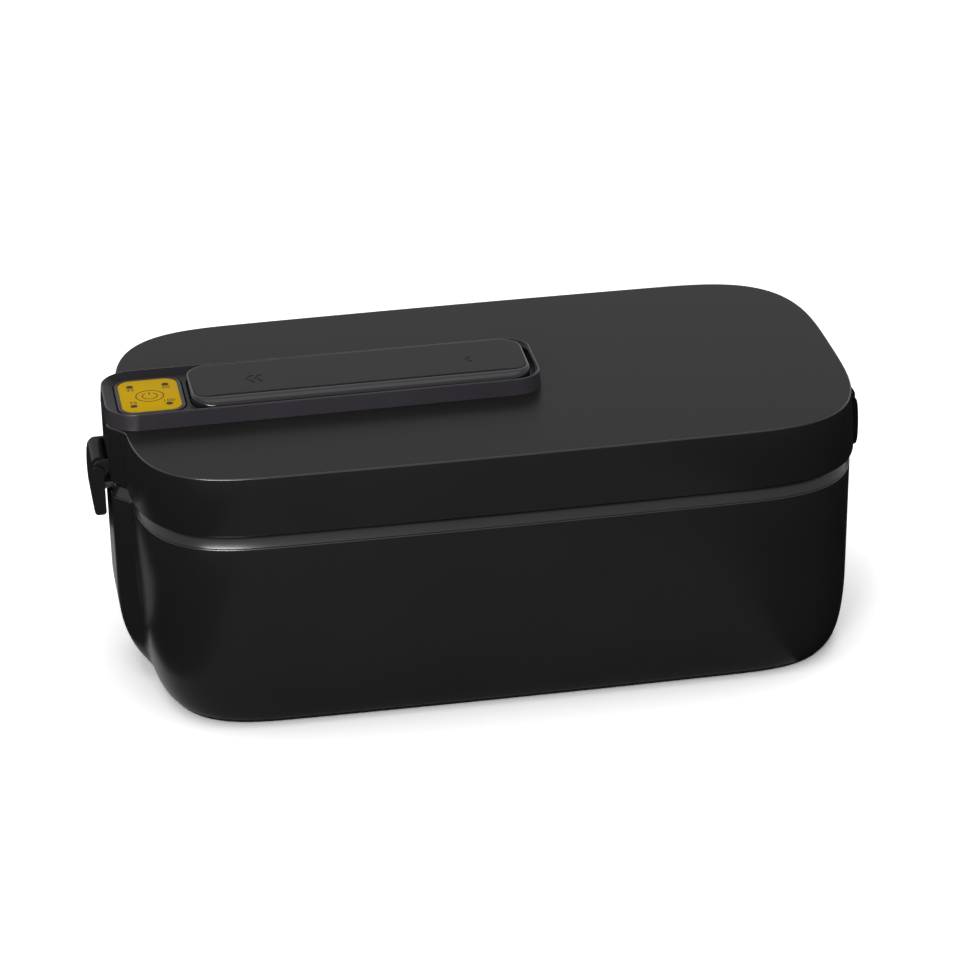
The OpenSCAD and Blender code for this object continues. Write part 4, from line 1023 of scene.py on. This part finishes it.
# name, lowest and highest corner on the floor, and shade
CARDS = (
    ("flag right", (0.10, -0.42), (0.60, 0.60), "black"),
    ("flag left front", (-0.60, -0.30), (-0.137, 0.02), "black"),
    ("flag left back", (-0.60, 0.02), (-0.19, 0.50), "black"),
    ("flag back", (-0.21, 0.11), (-0.09, 0.50), "black"),
    ("flag corner", (-0.19, 0.02), (-0.137, 0.11), "grey"),
)


def area_lamp(name, at, towards, size, power):
    data = bpy.data.lights.new(name, "AREA")
    data.shape = "RECTANGLE"
    data.size, data.size_y = size
    data.energy = power
    lamp = add_object(name, data)
    lamp.location = at
    lamp.rotation_euler = (Vector(towards) - Vector(at)).to_track_quat("-Z", "Y").to_euler()
    lamp.visible_camera = False
    return lamp


def split_rays(tree, plain, seen, output_socket):
    """Send camera, glossy and transmission rays to the shader seen, and all others to plain."""
    path = tree.nodes.new("ShaderNodeLightPath")
    chosen = path.outputs[SEEN_RAYS[0]]
    for ray in SEEN_RAYS[1:]:
        either = tree.nodes.new("ShaderNodeMath")
        either.operation = "MAXIMUM"
        tree.links.new(chosen, either.inputs[0])
        tree.links.new(path.outputs[ray], either.inputs[1])
        chosen = either.outputs[0]
    mix = tree.nodes.new("ShaderNodeMixShader")
    tree.links.new(chosen, mix.inputs["Fac"])
    tree.links.new(plain.outputs[0], mix.inputs[1])
    tree.links.new(seen.outputs[0], mix.inputs[2])
    tree.links.new(mix.outputs["Shader"], output_socket)


def build_world():
    world = bpy.data.worlds.new("studio")
    bpy.context.scene.world = world
    world.use_nodes = True
    tree = world.node_tree
    tree.nodes.clear()
    output = tree.nodes.new("ShaderNodeOutputWorld")
    light = add_node(tree, "ShaderNodeBackground", Color=WHITE, Strength=WORLD_LIGHT)
    white = add_node(tree, "ShaderNodeBackground", Color=WHITE, Strength=1.0)
    split_rays(tree, light, white, output.inputs["Surface"])


def build_floor():
    """Floor that shows white with a soft contact shadow, and throws back only a little light."""
    bpy.ops.mesh.primitive_plane_add(size=FLOOR_SIZE, location=(0, 0, 0))
    floor = bpy.context.object
    floor.name = "floor"
    material = bpy.data.materials.new("floor white")
    material.use_nodes = True
    tree = material.node_tree
    tree.nodes.clear()
    output = tree.nodes.new("ShaderNodeOutputMaterial")
    light = add_node(tree, "ShaderNodeBsdfDiffuse", Color=(FLOOR_LIGHT, FLOOR_LIGHT, FLOOR_LIGHT, 1))
    shaded = add_node(tree, "ShaderNodeBsdfDiffuse", Color=(FLOOR_SEEN, FLOOR_SEEN, FLOOR_SEEN, 1))
    split_rays(tree, light, shaded, output.inputs["Surface"])
    floor.data.materials.append(material)


def floor_card(name, low, high, material):
    """Card on the floor that only reflections see, so that the ends of the box stay dark."""
    corners = [(low[0], low[1]), (high[0], low[1]), (high[0], high[1]), (low[0], high[1])]
    mesh = bpy.data.meshes.new(name)
    mesh.from_pydata(at_z(corners, CARD_Z), [], [(0, 1, 2, 3)])
    mesh.materials.append(material)
    card = add_object(name, mesh)
    card.visible_camera = False
    card.visible_diffuse = False
    card.visible_shadow = False
    card.visible_transmission = False


def build_studio():
    build_world()
    build_floor()
    area_lamp(*TOP_SOFTBOX)
    area_lamp(*FRONT_SOFTBOX)
    area_lamp(*SHEEN).visible_diffuse = False
    finishes = {name: plastic(f"flag {name}", (shade, shade, shade), 0.9, specular=0.0)
                for name, shade in CARD_SHADES.items()}
    for name, low, high, shade in CARDS:
        floor_card(name, low, high, finishes[shade])


def main():
    dress_cad_nodes()
    build_base_shell()
    build_rim_collar()
    build_inner_tub()
    build_food_container()
    build_lid_cover()
    build_inner_panel()
    build_seal()
    build_cradle()
    build_pack()
    build_button()
    for side in ("left", "right"):
        build_latch(side)
        build_ears(side)
    build_camera()
    build_studio()
    bpy.context.scene.view_settings.view_transform = "Standard"


main()
